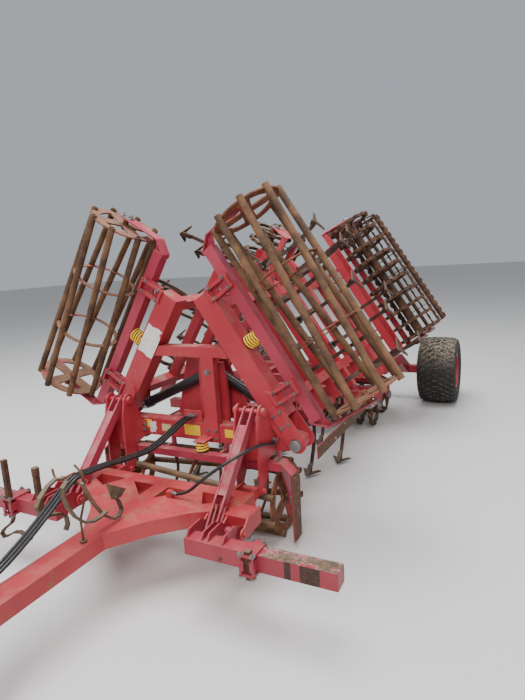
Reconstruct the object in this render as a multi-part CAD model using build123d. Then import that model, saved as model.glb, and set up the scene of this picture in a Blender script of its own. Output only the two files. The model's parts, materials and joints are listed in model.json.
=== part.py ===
from build123d import *
import os
from math import sin, cos, tan, radians, atan2, degrees, hypot

os.makedirs("parts", exist_ok=True)

# Frame: +X the machine's left as seen from the front, +Y rearwards, +Z up, floor at zero.
# Lengths below are measured from the front post pins along Y, in millimetres.

# Overall length
HITCH_Y = -2480
TYRE_Y = 4030
TYRE_R = 437
Y_MID = (HITCH_Y + TYRE_Y + TYRE_R) / 2

# Clearances: running fit of pins, and the gap between plates that swing past each other
FIT = 0.06
SWING_GAP = 6

# Wing hinge line and folded lean
PIN_X = 863
PIN_Z = 739
FOLD_DEG = 122.5
PIN_R = 22
LEAN = radians(FOLD_DEG - 90)

# Front cross beam of the centre frame
BEAM_Y0 = 190
BEAM_Y1 = 310
BEAM_Z0 = 669
BEAM_Z1 = 809
BEAM_X = 790
BUSH_R = 46

# Front arm of each wing
ARM_Y0 = 176
ARM_Y1 = 322
ARM_W0 = -55
ARM_W1 = 111
ARM_U0 = 205
ARM_U1 = 1284
ARM_WALL = 10
FORK_T = 12
FORK_R = 70
BUSH_Y0 = ARM_Y0 + SWING_GAP
BUSH_Y1 = ARM_Y1 - SWING_GAP

# Rear arm of each wing and rear cross beam
REAR_Y0 = 2450
REAR_Y1 = 2570
REAR_HALF = 60
REAR_GAP = 5

# Long tubes and tine beams
LONG_HALF = 40
LONG_X = 350
LONG_U = (300, 1170)
ROWS = (850, 1230, 1610, 1990)
ROW_HALF = 40
ROW_X = 730
ROW_U = (70, 1480)

# Wing tine field, columns: row, u
WING_TINES = (
    (0, 390), (0, 1010), (1, 160), (1, 840), (1, 1440),
    (2, 500), (2, 1240), (3, 90), (3, 670), (3, 1350),
)
# Centre tine field, columns: row, x
CENTRE_TINES = (
    (0, -510), (0, 170), (1, -170), (1, 510),
    (2, -680), (2, 0), (2, 680), (3, -340), (3, 340),
)

# Tine
TINE_W = 32
TINE_T = 18
TINE_RING_R = 100
TINE_TIP = -708
CLAMP_T = 26
SWEEP_W = 92

# Levelling board
BOARD_Y = 2350
BOARD_W0 = -430
BOARD_W1 = -280
BOARD_T = 12
CENTRE_BOARD_DROP = 70

# Tube rollers
TUBE_AXIS_Y = 236
TUBE_AXIS_W = -612
TUBE_AXIS_Z = 291
TUBE_CIRCLE = 265
TUBE_R = 25
TUBE_TWIST = 24
TUBE_COUNT = 8
TUBE_DISC_IN = 18
WING_TUBE_U = (30, 1570)
CENTRE_TUBE_X = 745
SHAFT_R = 22

# Rear rollers
RING_AXIS_Y = 2800
SLAT_AXIS_Y = 3300
REAR_AXIS_W = -545
REAR_AXIS_Z = 252
RING_R = 245
SLAT_R = 245
WING_REAR_U = (95, 1600)
CENTRE_REAR_X = 745
RING_COUNT = 10
RING_TEETH = 14
SLAT_COUNT = 9
SLAT_TEETH = 18
REAR_BAR_Y = (2632, 3050)
REAR_BAR_HALF = 28

# Posts and top links
POST_X = 592
POST_TOP_Z = 1011
FOOT_Y = -52
FOOT_Z = 460
FOOT_R = 28
FOOT_PIN_R = 20
LINK_Y = -560
LINK_Z = 429
LINK_PIN_R = 16
POST_PIN_R = 18
LINK_HALF = 34

# Drawbar
BAR_Z0 = 400
BAR_Z1 = 500
TONGUE_HALF = 80
NECK = 120
EYE_R = 60
EYE_BORE_R = 26
EYE_T = 50
TONGUE_Y0 = HITCH_Y + EYE_R + NECK
CORNER_X = 802
CORNER_Y0 = -500
CORNER_Y1 = -340

# Toolbars
TB_Y0 = -780
TB_Y1 = -680
TB_Z0 = 370
TB_Z1 = 470
TB_X = (530, 1470)
LUG_X = (536, 636, 678, 778)
LUG_T = 12
TB_CLAMP_X = 970

# Wing rest
REST_Z0 = 1340
REST_Z1 = 1419
REST_Y0 = 178
REST_Y1 = 300
REST_GAP = 6
T_POST_X = (90, 205)
T_POST_DEPTH = 60

# Fold cylinders
# Pins of the fold cylinders: the left one and the right one, behind the rest post
TOWER_LEFT = 125
TOWER_RIGHT = 25
TOWER_Z = 1170
TOWER_TOP = 1275
CYL_Y0 = 360
CYL_Y1 = 440
CYL_U = 160
CYL_W = 74
CYL_R = 42
ROD_R = 22
EYE_OUT_R = 34
CYL_PIN_R = 18
LUG_GAP = 5

# Axle frame and its cylinder
AXLE_PIVOT_Y = 2740
AXLE_PIVOT_Z = 700
AXLE_TUBE_R = 45
AXLE_ARM_X = 855
AXLE_BEAM_X = 1000
WHEEL_X = 1290
STUB_R = 30
AXCYL_Y = 2060
AXCYL_Z = 1040
AXLUG_Y = AXLE_PIVOT_Y + 10
AXLUG_Z = 1040

# Tyre and rim
TYRE_HALF = 240
BEAD_R = 216
RIM_HALF = 205

# Spring between the centre roller beam and the cross beam
SPRING_X = 105
SPRING_Y = 95

# Side plates and deflectors beside the centre section
SIDE_X = 855
SIDE_T = 10

# Parking jack beside the tongue
JACK_X = 132
JACK_Y = -1840
JACK_TOP = 780
JACK_LIFT = 200
JACK_FOOT_T = 12

# Hoses
HOSE_R = 11
HOSE_PITCH = 26
HOLDER_R = 7
STEM_X = 34
BULKHEAD_Y = 200
PARK_Y = -2060
PARK_HOLE_R = 13


def box(x0, x1, y0, y1, z0, z1):
    return Pos((x0 + x1) / 2, (y0 + y1) / 2, (z0 + z1) / 2) * Box(abs(x1 - x0), abs(y1 - y0), abs(z1 - z0))


def cyl_x(x0, x1, y, z, r):
    return Pos((x0 + x1) / 2, y, z) * Rot(0, 90, 0) * Cylinder(r, abs(x1 - x0))


def cyl_y(y0, y1, x, z, r):
    return Pos(x, (y0 + y1) / 2, z) * Rot(90, 0, 0) * Cylinder(r, abs(y1 - y0))


def cyl_z(z0, z1, x, y, r):
    return Pos(x, y, (z0 + z1) / 2) * Cylinder(r, abs(z1 - z0))


def hex_y(y0, y1, x, z, r):
    return Pos(x, max(y0, y1), z) * Rot(90, 0, 0) * extrude(RegularPolygon(r, 6), amount=abs(y1 - y0))


def rod(p, q, r):
    a = Vector(*p)
    d = Vector(*q) - a
    return Plane(origin=a, z_dir=d) * Cylinder(r, d.length, align=(Align.CENTER, Align.CENTER, Align.MIN))


def prism_x(points, x0, x1):
    face = make_face(Polyline(*[(0, y, z) for y, z in points], close=True))
    return Pos(min(x0, x1), 0, 0) * extrude(face, amount=abs(x1 - x0), dir=(1, 0, 0))


def prism_y(points, y0, y1):
    face = make_face(Polyline(*[(x, 0, z) for x, z in points], close=True))
    return Pos(0, min(y0, y1), 0) * extrude(face, amount=abs(y1 - y0), dir=(0, 1, 0))


def prism_z(points, z0, z1):
    face = make_face(Polyline(*[(x, y, 0) for x, y in points], close=True))
    return Pos(0, 0, min(z0, z1)) * extrude(face, amount=abs(z1 - z0), dir=(0, 0, 1))


def fuse(items):
    return Part() + list(items)


def arc(cx, cy, r, a0, a1, n):
    step = (a1 - a0) / n
    return [(cx + r * cos(radians(a0 + step * i)), cy + r * sin(radians(a0 + step * i))) for i in range(n + 1)]


# A strip of thickness t along a line of points
def ribbon(points, t):
    left = []
    right = []
    for i, (a, b) in enumerate(points):
        p = points[max(i - 1, 0)]
        q = points[min(i + 1, len(points) - 1)]
        n = hypot(q[0] - p[0], q[1] - p[1])
        nx = -(q[1] - p[1]) / n * t / 2
        ny = (q[0] - p[0]) / n * t / 2
        left.append((a + nx, b + ny))
        right.append((a - nx, b - ny))
    return left + right[::-1]


# A round bar or tube bent along straight runs with tangent arcs, and the radius of those arcs
def bend_radius(points):
    best = None
    for a, b, c in zip(points, points[1:], points[2:]):
        p = Vector(*b) - Vector(*a)
        q = Vector(*c) - Vector(*b)
        turn = radians(p.get_angle(q))
        r = 0.45 * min(p.length, q.length) / tan(turn / 2)
        best = r if best is None else min(best, r)
    return best


def bent_tube(points, r, name):
    radius = bend_radius(points)
    path = FilletPolyline(*points, radius=radius)
    start = Vector(*points[0])
    print(name, "bend radius", round(radius), "length", round(path.length))
    return sweep(Plane(origin=start, z_dir=Vector(*points[1]) - start) * Circle(r), path=path)


def save(shape, name):
    export_step(Pos(0, -Y_MID, 0) * shape, "parts/" + name + ".step")


def mirrored(shape):
    return mirror(shape, about=Plane.YZ)


# A wing piece is drawn level about its pins, u outwards and w upwards, then swung up
def folded(shape):
    return Pos(PIN_X, 0, PIN_Z) * Rot(0, -FOLD_DEG, 0) * shape


def both_wings(shape, name):
    left = folded(shape)
    save(left, name + "_left")
    save(mirrored(left), name + "_right")


def both_sides(shape, name):
    save(shape, name + "_left")
    save(mirrored(shape), name + "_right")


# Spring tine: clamp under its beam, round coil, curved leg and sweep
def tine(x, y, top, tip):
    ring_y = y + 40
    ring_z = top - CLAMP_T + 6 - TINE_RING_R
    outer = cyl_x(x - TINE_W / 2, x + TINE_W / 2, ring_y, ring_z, TINE_RING_R)
    inner = cyl_x(x - TINE_W, x + TINE_W, ring_y, ring_z, TINE_RING_R - TINE_T)
    clamp = box(x - 34, x + 34, y - 36, y + 44, top - CLAMP_T, top)
    depth = ring_z - tip
    start = ring_y + TINE_RING_R - TINE_T / 2
    # Leg, columns: forward of the start, share of the depth
    leg = ((0, 0), (-24, 0.22), (-16, 0.44), (24, 0.66), (84, 0.86), (140, 0.95))
    line = [(start - forward, ring_z - depth * share) for forward, share in leg]
    shank = prism_x(ribbon(line, TINE_T), x - TINE_W / 2, x + TINE_W / 2)
    foot = start - 140
    sweep_plate = prism_z([(x, foot - 86), (x + SWEEP_W, foot + 60), (x + 66, foot + 66), (x, foot - 6),
                           (x - 66, foot + 66), (x - SWEEP_W, foot + 60)], tip, tip + 10)
    nose = prism_x([(foot - 70, tip + 8), (foot + 10, tip + 8), (foot + 40, tip + 74), (foot + 16, tip + 74)],
                   x - 20, x + 20)
    return fuse([outer - inner, clamp, shank, sweep_plate, nose])


# Tube cage roller along x, axis through the origin of y and z
def tube_roller(x0, x1, rings=(0.34, 0.66)):
    items = [cyl_x(x0 - 42, x0 + 60, 0, 0, SHAFT_R), cyl_x(x1 - 60, x1 + 42, 0, 0, SHAFT_R)]
    for i in range(TUBE_COUNT):
        a = radians(360 / TUBE_COUNT * i)
        b = a + radians(TUBE_TWIST)
        items.append(rod((x0, TUBE_CIRCLE * cos(a), TUBE_CIRCLE * sin(a)),
                         (x1, TUBE_CIRCLE * cos(b), TUBE_CIRCLE * sin(b)), TUBE_R))
    for end, side, twist in ((x0, 1, 0), (x1, -1, TUBE_TWIST)):
        inner = end + side * TUBE_DISC_IN
        outer = inner + side * 12
        disc = cyl_x(inner, outer, 0, 0, TUBE_CIRCLE)
        for i in range(4):
            a = 90 * i + 45 + twist
            window = arc(0, 0, 196, a - 30, a + 30, 3) + [(60 * cos(radians(a)), 60 * sin(radians(a)))]
            disc -= prism_x(window, inner - side, outer + side)
        items.append(disc)
    for k in rings:
        x = x0 + (x1 - x0) * k
        items.append(cyl_x(x - 4, x + 4, 0, 0, TUBE_CIRCLE - 4) - cyl_x(x - 9, x + 9, 0, 0, TUBE_CIRCLE - 40))
    return fuse(items)


# Ring with square teeth along x
def toothed_ring(x0, x1, teeth, r0, r1, turn):
    pitch = 360 / teeth
    corners = []
    for i in range(teeth):
        a = pitch * i + turn
        corners += [(r0, a), (r1, a + 2), (r1, a + pitch * 0.42), (r0, a + pitch * 0.42 + 2)]
    return prism_x([(r * cos(radians(a)), r * sin(radians(a))) for r, a in corners], x0, x1)


# Ring roller: toothed rings with spokes on a middle tube
def ring_roller(x0, x1):
    items = [cyl_x(x0 - 40, x1 + 40, 0, 0, SHAFT_R), cyl_x(x0 + 6, x1 - 6, 0, 0, 48)]
    step = (x1 - x0 - 60) / (RING_COUNT - 1)
    for i in range(RING_COUNT):
        x = x0 + 30 + step * i
        turn = 11 * (i % 2)
        ring = toothed_ring(x - 16, x + 16, RING_TEETH, RING_R - 24, RING_R, turn)
        items.append(ring - cyl_x(x - 30, x + 30, 0, 0, RING_R - 56))
        for k in range(2):
            items.append(Pos(x, 0, 0) * Rot(90 * k + 45 * (i % 2), 0, 0) * Box(16, 2 * (RING_R - 48), 28))
    return fuse(items)


# Slat roller: toothed slats on thin rings round a middle shaft
def slat_roller(x0, x1):
    items = [cyl_x(x0 - 40, x1 + 40, 0, 0, SHAFT_R)]
    length = x1 - x0
    pitch = (length - 12) / SLAT_TEETH
    edge = [(x0 + 6, SLAT_R - 46)]
    for i in range(SLAT_TEETH):
        x = x0 + 6 + pitch * i
        edge += [(x, SLAT_R - 14), (x + pitch * 0.25, SLAT_R), (x + pitch * 0.6, SLAT_R),
                 (x + pitch * 0.85, SLAT_R - 14)]
    edge += [(x1 - 6, SLAT_R - 14), (x1 - 6, SLAT_R - 46)]
    slat = prism_y(edge, -4, 4)
    for i in range(SLAT_COUNT):
        items.append(Rot(360 / SLAT_COUNT * i, 0, 0) * slat)
    for k in range(7):
        x = x0 + 12 + (length - 24) * k / 6
        web = cyl_x(x - 4, x + 4, 0, 0, SLAT_R - 34)
        if 0 < k < 6:
            web -= cyl_x(x - 9, x + 9, 0, 0, SLAT_R - 62)
        else:
            for j in range(3):
                a = 120 * j
                window = arc(0, 0, SLAT_R - 64, a - 38, a + 38, 4)
                window.append((48 * cos(radians(a)), 48 * sin(radians(a))))
                web -= prism_x(window, x - 9, x + 9)
        items.append(web)
    return fuse(items)


# Coil spring drawn as its stacked turns
def spring(p, q, r, turns, wire):
    a = Vector(*p)
    d = Vector(*q) - a
    low = (Align.CENTER, Align.CENTER, Align.MIN)
    items = [Cylinder(r - wire, d.length, align=low)]
    step = (d.length - wire) / turns
    for i in range(turns + 1):
        items.append(Pos(0, 0, step * i) * Cylinder(r, wire, align=low))
    return Plane(origin=a, z_dir=d) * fuse(items)


# Levelling board along x with its folded top edge and its hangers
def board(x0, x1, z0, z1, hang, top):
    y = BOARD_Y
    blade = [(y - 20, z0), (y + 22, z0 + 62), (y + 22, z1 - BOARD_T), (y + 60, z1 - BOARD_T), (y + 60, z1),
             (y + 22 - BOARD_T, z1), (y + 22 - BOARD_T, z0 + 66), (y - 32, z0 + 4)]
    items = [prism_x(blade, x0, x1)]
    for x in hang:
        items.append(box(x - 20, x + 20, y + 20, y + 44, z1 - 40, top))
    return fuse(items)


# Frame carrying the two rear rollers: side plates, two cross tubes and brackets to the rear beam
def rear_frame(x0, x1, axis_z, back_y, mid_z, brackets):
    items = []
    top = axis_z + 274
    for x, s in ((x0, -1), (x1, 1)):
        cheek = [(REAR_BAR_Y[0] - 34, top), (REAR_BAR_Y[1] + 20, top), (REAR_BAR_Y[1] + 90, axis_z + 200),
                 (SLAT_AXIS_Y + 50, axis_z + 60), (SLAT_AXIS_Y + 60, axis_z), (SLAT_AXIS_Y + 30, axis_z - 50),
                 (SLAT_AXIS_Y - 70, axis_z - 30), (REAR_BAR_Y[1], axis_z + 120), (RING_AXIS_Y + 60, axis_z - 30),
                 (RING_AXIS_Y - 30, axis_z - 50), (RING_AXIS_Y - 60, axis_z), (REAR_BAR_Y[0] - 34, axis_z + 200)]
        items.append(prism_x(cheek, x + s * 22, x + s * 34))
    for y in REAR_BAR_Y:
        items.append(box(x0 - 22, x1 + 22, y - REAR_BAR_HALF, y + REAR_BAR_HALF, axis_z + 214, axis_z + 270))
    for x in brackets:
        items.append(prism_x([(back_y, mid_z - 50), (back_y, mid_z + 50), (back_y + 14, mid_z + 50),
                              (REAR_BAR_Y[0] + REAR_BAR_HALF - 2, axis_z + 268),
                              (REAR_BAR_Y[0] - REAR_BAR_HALF, axis_z + 268)], x - 8, x + 8))
    frame = fuse(items)
    for y in (RING_AXIS_Y, SLAT_AXIS_Y):
        frame -= cyl_x(x0 - 80, x1 + 80, y, axis_z, SHAFT_R + FIT)
    return frame


# Hinge bush of the centre frame, on side s
def bush(s, half, y0, y1):
    return prism_y([(s * (BEAM_X - 10), PIN_Z - half), (s * PIN_X, PIN_Z - BUSH_R)]
                   + [(s * (PIN_X + a), PIN_Z + b) for a, b in arc(0, 0, BUSH_R, -70, 70, 5)]
                   + [(s * PIN_X, PIN_Z + BUSH_R), (s * (BEAM_X - 10), PIN_Z + half)], y0, y1)


def centre_frame():
    items = [
        box(-BEAM_X, BEAM_X, BEAM_Y0, BEAM_Y1, BEAM_Z0, BEAM_Z1),
        box(-BEAM_X, BEAM_X, REAR_Y0, REAR_Y1, PIN_Z - REAR_HALF, PIN_Z + REAR_HALF),
    ]
    for y in ROWS:
        items.append(box(-ROW_X, ROW_X, y - ROW_HALF, y + ROW_HALF, PIN_Z - ROW_HALF, PIN_Z + ROW_HALF))
    for s in (-1, 1):
        items.append(bush(s, (BEAM_Z1 - BEAM_Z0) / 2 - 6, BUSH_Y0, BUSH_Y1))
        items.append(bush(s, REAR_HALF, REAR_Y0, REAR_Y1))
        x = s * LONG_X
        items.append(box(x - LONG_HALF, x + LONG_HALF, BEAM_Y1 - 5, REAR_Y0 + 5, PIN_Z - LONG_HALF, PIN_Z + LONG_HALF))
        # Lugs that carry the axle frame
        items.append(prism_x([(REAR_Y1 - 5, PIN_Z - 60), (AXLE_PIVOT_Y - 30, AXLE_PIVOT_Z - 80),
                              (AXLE_PIVOT_Y + 60, AXLE_PIVOT_Z - 40), (AXLE_PIVOT_Y + 60, AXLE_PIVOT_Z + 40),
                              (AXLE_PIVOT_Y, AXLE_PIVOT_Z + 76), (REAR_Y1 - 5, PIN_Z + 60)], s * 480, s * 500))
        # Lugs that carry the axle cylinder
        items.append(prism_x([(ROWS[3] - 40, PIN_Z + 35), (ROWS[3] + 40, PIN_Z + 35), (AXCYL_Y + 40, AXCYL_Z - 20),
                              (AXCYL_Y + 40, AXCYL_Z + 40), (AXCYL_Y - 40, AXCYL_Z + 40)], s * 34, s * 46))
    # Fitting of the single hose
    x, y, z = CROSS[0]
    items.append(cyl_y(y, BEAM_Y0 + 5, x, z, HOSE_R + 4))
    # Seat of the centre spring
    low = BEAM_Z0 + 36
    items.append(box(SPRING_X - 50, SPRING_X + 50, SPRING_Y - 50, REST_Y0 - 1, low, low + 10))
    items.append(box(SPRING_X - 50, T_POST_X[0] - 1, REST_Y0 - 1, BEAM_Y0 + 5, low, low + 10))
    # Bulkhead plate with the hose fittings
    items.append(box(-120, 50, BULKHEAD_Y, BULKHEAD_Y + 10, BEAM_Z1 - 4, BEAM_Z1 + 96))
    for k in HOSE_SLOTS:
        items.append(cyl_y(BULKHEAD_Y - 24, BULKHEAD_Y + 34, HOSE_X + k, BEAM_Z1 + 61, HOSE_R + 1))
    frame = fuse(items)
    for s in (-1, 1):
        frame -= cyl_y(0, REAR_Y1 + 200, s * PIN_X, PIN_Z, PIN_R + FIT)
    frame -= cyl_x(-520, 520, AXLE_PIVOT_Y, AXLE_PIVOT_Z, AXLE_TUBE_R + FIT)
    return frame + cyl_x(-46, 46, AXCYL_Y, AXCYL_Z, CYL_PIN_R)


# Tower for the fold cylinders: front plate on the beam's rear face, rear plate on the long tubes, gusset between
def tower():
    front = CYL_Y0 - 14
    rear = CYL_Y1 + 14
    middle = (TOWER_LEFT + TOWER_RIGHT) / 2
    tube_top = PIN_Z + LONG_HALF
    items = [
        prism_y([(-30, BEAM_Z0 + 20), (225, BEAM_Z0 + 20), (225, 1100), (200, TOWER_TOP), (-20, TOWER_TOP)],
                BEAM_Y1, front),
        prism_y([(-LONG_X, tube_top), (-LONG_X, 820), (-230, TOWER_TOP), (160, TOWER_TOP), (LONG_X, 820),
                 (LONG_X, tube_top)], rear, rear + 14),
        prism_x([(front - 4, 860), (rear + 8, 1040), (rear + 8, TOWER_TOP), (front - 4, TOWER_TOP)],
                middle - 7, middle + 7),
    ]
    for x in (TOWER_LEFT, TOWER_RIGHT):
        items.append(cyl_y(front - 6, rear + 28, x, TOWER_Z, CYL_PIN_R))
    return fuse(items)


def post(x):
    items = []
    outline = [(FOOT_Y - FOOT_R - 6, FOOT_Z)] + arc(FOOT_Y, FOOT_Z, FOOT_R, 200, 340, 6) + [
        (38, 545), (38, 640), (BEAM_Y0, BEAM_Z0), (BEAM_Y0, BEAM_Z1 - 15), (140, BEAM_Z1 - 5), (90, 940)]
    outline += arc(0, POST_TOP_Z, 50, 15, 165, 6) + [(-80, 900), (-85, 560)]
    for a in (-95, 80):
        items.append(prism_x(outline, x + a, x + a + 15))
    items.append(box(x - 82, x + 82, 18, 38, 640, 930))
    items.append(cyl_x(x - 112, x + 112, 0, POST_TOP_Z, POST_PIN_R))
    for a in (-120, 94):
        items.append(cyl_x(x + a, x + a + 26, 0, POST_TOP_Z, 30))
    return fuse(items) - cyl_x(x - 150, x + 150, FOOT_Y, FOOT_Z, FOOT_PIN_R + FIT)


# Where the rest bar ends beside the folded arm, at height z
def rest_x(z):
    u = (z - PIN_Z + ARM_W1 * sin(LEAN)) / cos(LEAN)
    return PIN_X - u * sin(LEAN) - ARM_W1 * cos(LEAN) - REST_GAP / cos(LEAN)


def wing_rest():
    x0, x1 = T_POST_X
    low = rest_x(REST_Z0)
    high = rest_x(REST_Z1)
    return fuse([
        prism_y([(-low, REST_Z0), (low, REST_Z0), (high, REST_Z1), (-high, REST_Z1)], REST_Y0, REST_Y1),
        box(x0, x1, REST_Y0, BEAM_Y0, BEAM_Z0, REST_Z0 + 5),
        box(x0, x1, REST_Y0, REST_Y0 + T_POST_DEPTH, BEAM_Z1, REST_Z0 + 5),
        prism_y([(x0 - 55, REST_Z0), (x0, REST_Z0 - 55), (x1, REST_Z0 - 55), (x1 + 55, REST_Z0)],
                REST_Y0 + 40, REST_Y0 + 52),
    ])


# Roller beam of the centre: beam in front of the roller, bearing arms, straps up to the cross beam
ROLL_BEAM_Y = 85
ROLL_BEAM_Z = (565, 620)
ROLL_BEAM_END = CENTRE_TUBE_X + 35


def centre_roller_frame():
    z0, z1 = ROLL_BEAM_Z
    end = ROLL_BEAM_END
    items = [box(-end, end, ROLL_BEAM_Y - 35, ROLL_BEAM_Y + 35, z0, z1)]
    for s in (-1, 1):
        bearing = arc(TUBE_AXIS_Y, TUBE_AXIS_Z, 52, -150, 30, 6)
        items.append(prism_x([(ROLL_BEAM_Y - 30, z1 - 3), (TUBE_AXIS_Y - 62, TUBE_AXIS_Z + 60)] + bearing
                             + [(ROLL_BEAM_Y + 66, z1 - 3)], s * (CENTRE_TUBE_X + 20), s * (CENTRE_TUBE_X + 34)))
        for x in (s * 250, s * 700):
            items.append(box(x - 10, x + 10, ROLL_BEAM_Y + 30, BEAM_Y0 + 40, z1 - 30, z1 + 4))
            items.append(box(x - 10, x + 10, BEAM_Y0, BEAM_Y0 + 40, z1 - 30, BEAM_Z0))
    return fuse(items) - cyl_x(-900, 900, TUBE_AXIS_Y, TUBE_AXIS_Z, SHAFT_R + FIT)


# Plate beside the front roller, bent over onto the roller beam, and the long deflector beside the tine field
def side_plate():
    y0 = ROLL_BEAM_Y - 40
    y1 = ROLL_BEAM_Y + 65
    x1 = SIDE_X + SIDE_T
    top = ROLL_BEAM_Z[1]
    # Bend line of the outer face, and how far the inner face stands back from it along the slope
    fold_z = 552
    back = 14
    low = 45
    bent = prism_y([(SIDE_X, low), (x1, low), (x1, fold_z), (x1 + fold_z - top - SIDE_T, top + SIDE_T),
                    (ROLL_BEAM_END - 65, top + SIDE_T), (ROLL_BEAM_END - 65, top), (x1 + fold_z - back - top, top),
                    (SIDE_X, x1 + fold_z - back - SIDE_X)], y0, y1)
    plate = bent & prism_x([(y0, top + 20), (y1, top + 20), (y1, 120), (y1 - 40, low), (y0 + 10, low), (y0, 70)],
                           ROLL_BEAM_END - 100, x1 + 10)
    deflector = prism_x([(560, 470), (560, 572), (2000, 572), (2040, 540), (2040, 470)], SIDE_X, x1)
    hangers = []
    for y in (ROWS[1], ROWS[3]):
        hangers.append(prism_y([(ROW_X - 40, PIN_Z - ROW_HALF), (ROW_X, PIN_Z - ROW_HALF), (SIDE_X, 580),
                                (SIDE_X, 520), (SIDE_X - 12, 520), (SIDE_X - 12, 572)], y - 20, y + 20))
    return Part() + [plate, fuse([deflector] + hangers)]


# Front arm of a wing: box section with its fork, the raised plate, washer and nut of the front pin
def front_arm():
    end = ARM_U1
    arm = box(ARM_U0, end, ARM_Y0, ARM_Y1, ARM_W0, ARM_W1)
    arm -= box(ARM_U0 + 240, end - ARM_WALL, ARM_Y0 + ARM_WALL, ARM_Y1 - ARM_WALL, ARM_W0 + ARM_WALL, ARM_W1 - ARM_WALL)
    items = [arm]
    half_round = arc(0, 0, FORK_R, 90, 270, 10)
    for y0 in (ARM_Y0 - FORK_T, ARM_Y1):
        items.append(prism_y(half_round + [(200, ARM_W0), (400, -50), (440, 0), (440, 60), (400, 100),
                                           (205, ARM_W1)], y0, y0 + FORK_T))
    face = ARM_Y0 - FORK_T
    items.append(prism_y(arc(0, 0, 54, 90, 270, 8) + [(270, -40), (310, 0), (310, 40), (270, 54)], face - FORK_T, face))
    items.append(cyl_y(face - FORK_T - 6, face - FORK_T, 0, 0, 40))
    items.append(hex_y(face - FORK_T - 28, face - FORK_T - 6, 0, 0, 36))
    # Lugs for the roller's link bars, below the arm
    for u in LINK_BAR_U:
        items.append(box(u - 62, u + 62, LINK_BAR_Y - 6, LINK_BAR_Y + 6, ARM_W0 - 52, ARM_W0))
    arm = fuse(items) + cyl_y(face - FORK_T - 38, ARM_Y1 + 40, 0, 0, PIN_R)
    for u in LINK_BAR_U:
        for k in (-LINK_BAR_PITCH / 2, LINK_BAR_PITCH / 2):
            arm -= cyl_y(LINK_BAR_Y - 20, LINK_BAR_Y + 20, u + k, ARM_W0 - 26, LINK_BOLT_R + FIT)
    return arm


def rear_arm():
    items = [box(ARM_U0 - 65, 1440, REAR_Y0 - REAR_GAP, REAR_Y1 + REAR_GAP, -REAR_HALF, REAR_HALF)]
    for y0 in (REAR_Y0 - REAR_GAP - FORK_T, REAR_Y1 + REAR_GAP):
        items.append(prism_y(arc(0, 0, REAR_HALF, 90, 270, 8) + [(200, -60), (300, -50), (300, 50), (200, 60)],
                             y0, y0 + FORK_T))
    return fuse(items) + cyl_y(REAR_Y0 - 40, REAR_Y1 + 40, 0, 0, PIN_R)


# Cross members of a wing: front arm, four tine beams and rear arm, joined by the long tubes
def wing_frame():
    beams = [box(ROW_U[0], ROW_U[1], y - ROW_HALF, y + ROW_HALF, -ROW_HALF, ROW_HALF) for y in ROWS]
    return Part() + [front_arm(), rear_arm()] + beams


# Long tubes of a wing, in lengths between the cross members, and the lugs for the fold cylinder with its pin heads
def wing_tubes():
    spans = list(zip((ARM_Y1,) + tuple(y + ROW_HALF for y in ROWS),
                     tuple(y - ROW_HALF for y in ROWS) + (REAR_Y0 - REAR_GAP,)))
    lengths = []
    for u in LONG_U:
        for y0, y1 in spans:
            lengths.append(box(u - LONG_HALF, u + LONG_HALF, y0, y1, -LONG_HALF, LONG_HALF))
    tube = LONG_U[0] + LONG_HALF
    for y0, head in ((CYL_Y0 - LUG_GAP - 12, -10), (CYL_Y1 + LUG_GAP, 12)):
        lug = prism_y(arc(CYL_U, CYL_W, 42, 250, 60, 7)
                      + [(tube, LONG_HALF), (tube, -LONG_HALF), (tube - 60, -LONG_HALF)], y0, y0 + 12)
        lengths[0] += lug + cyl_y(y0 + head, y0 + head + 10, CYL_U, CYL_W, 27)
    lengths[0] -= front_arm()
    lengths[len(spans) - 1] -= rear_arm()
    return Part() + lengths


# Wing front roller frame: beam with folded end plates, and pairs of link bars up to the arm
ROLL_W0 = -255
ROLL_W1 = -172
ROLL_Y0 = 195
ROLL_Y1 = 285
LINK_BAR_U = (355, 1240)
LINK_BAR_PITCH = 86
LINK_BAR_Y = 206
LINK_BOLT_R = 9


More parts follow.
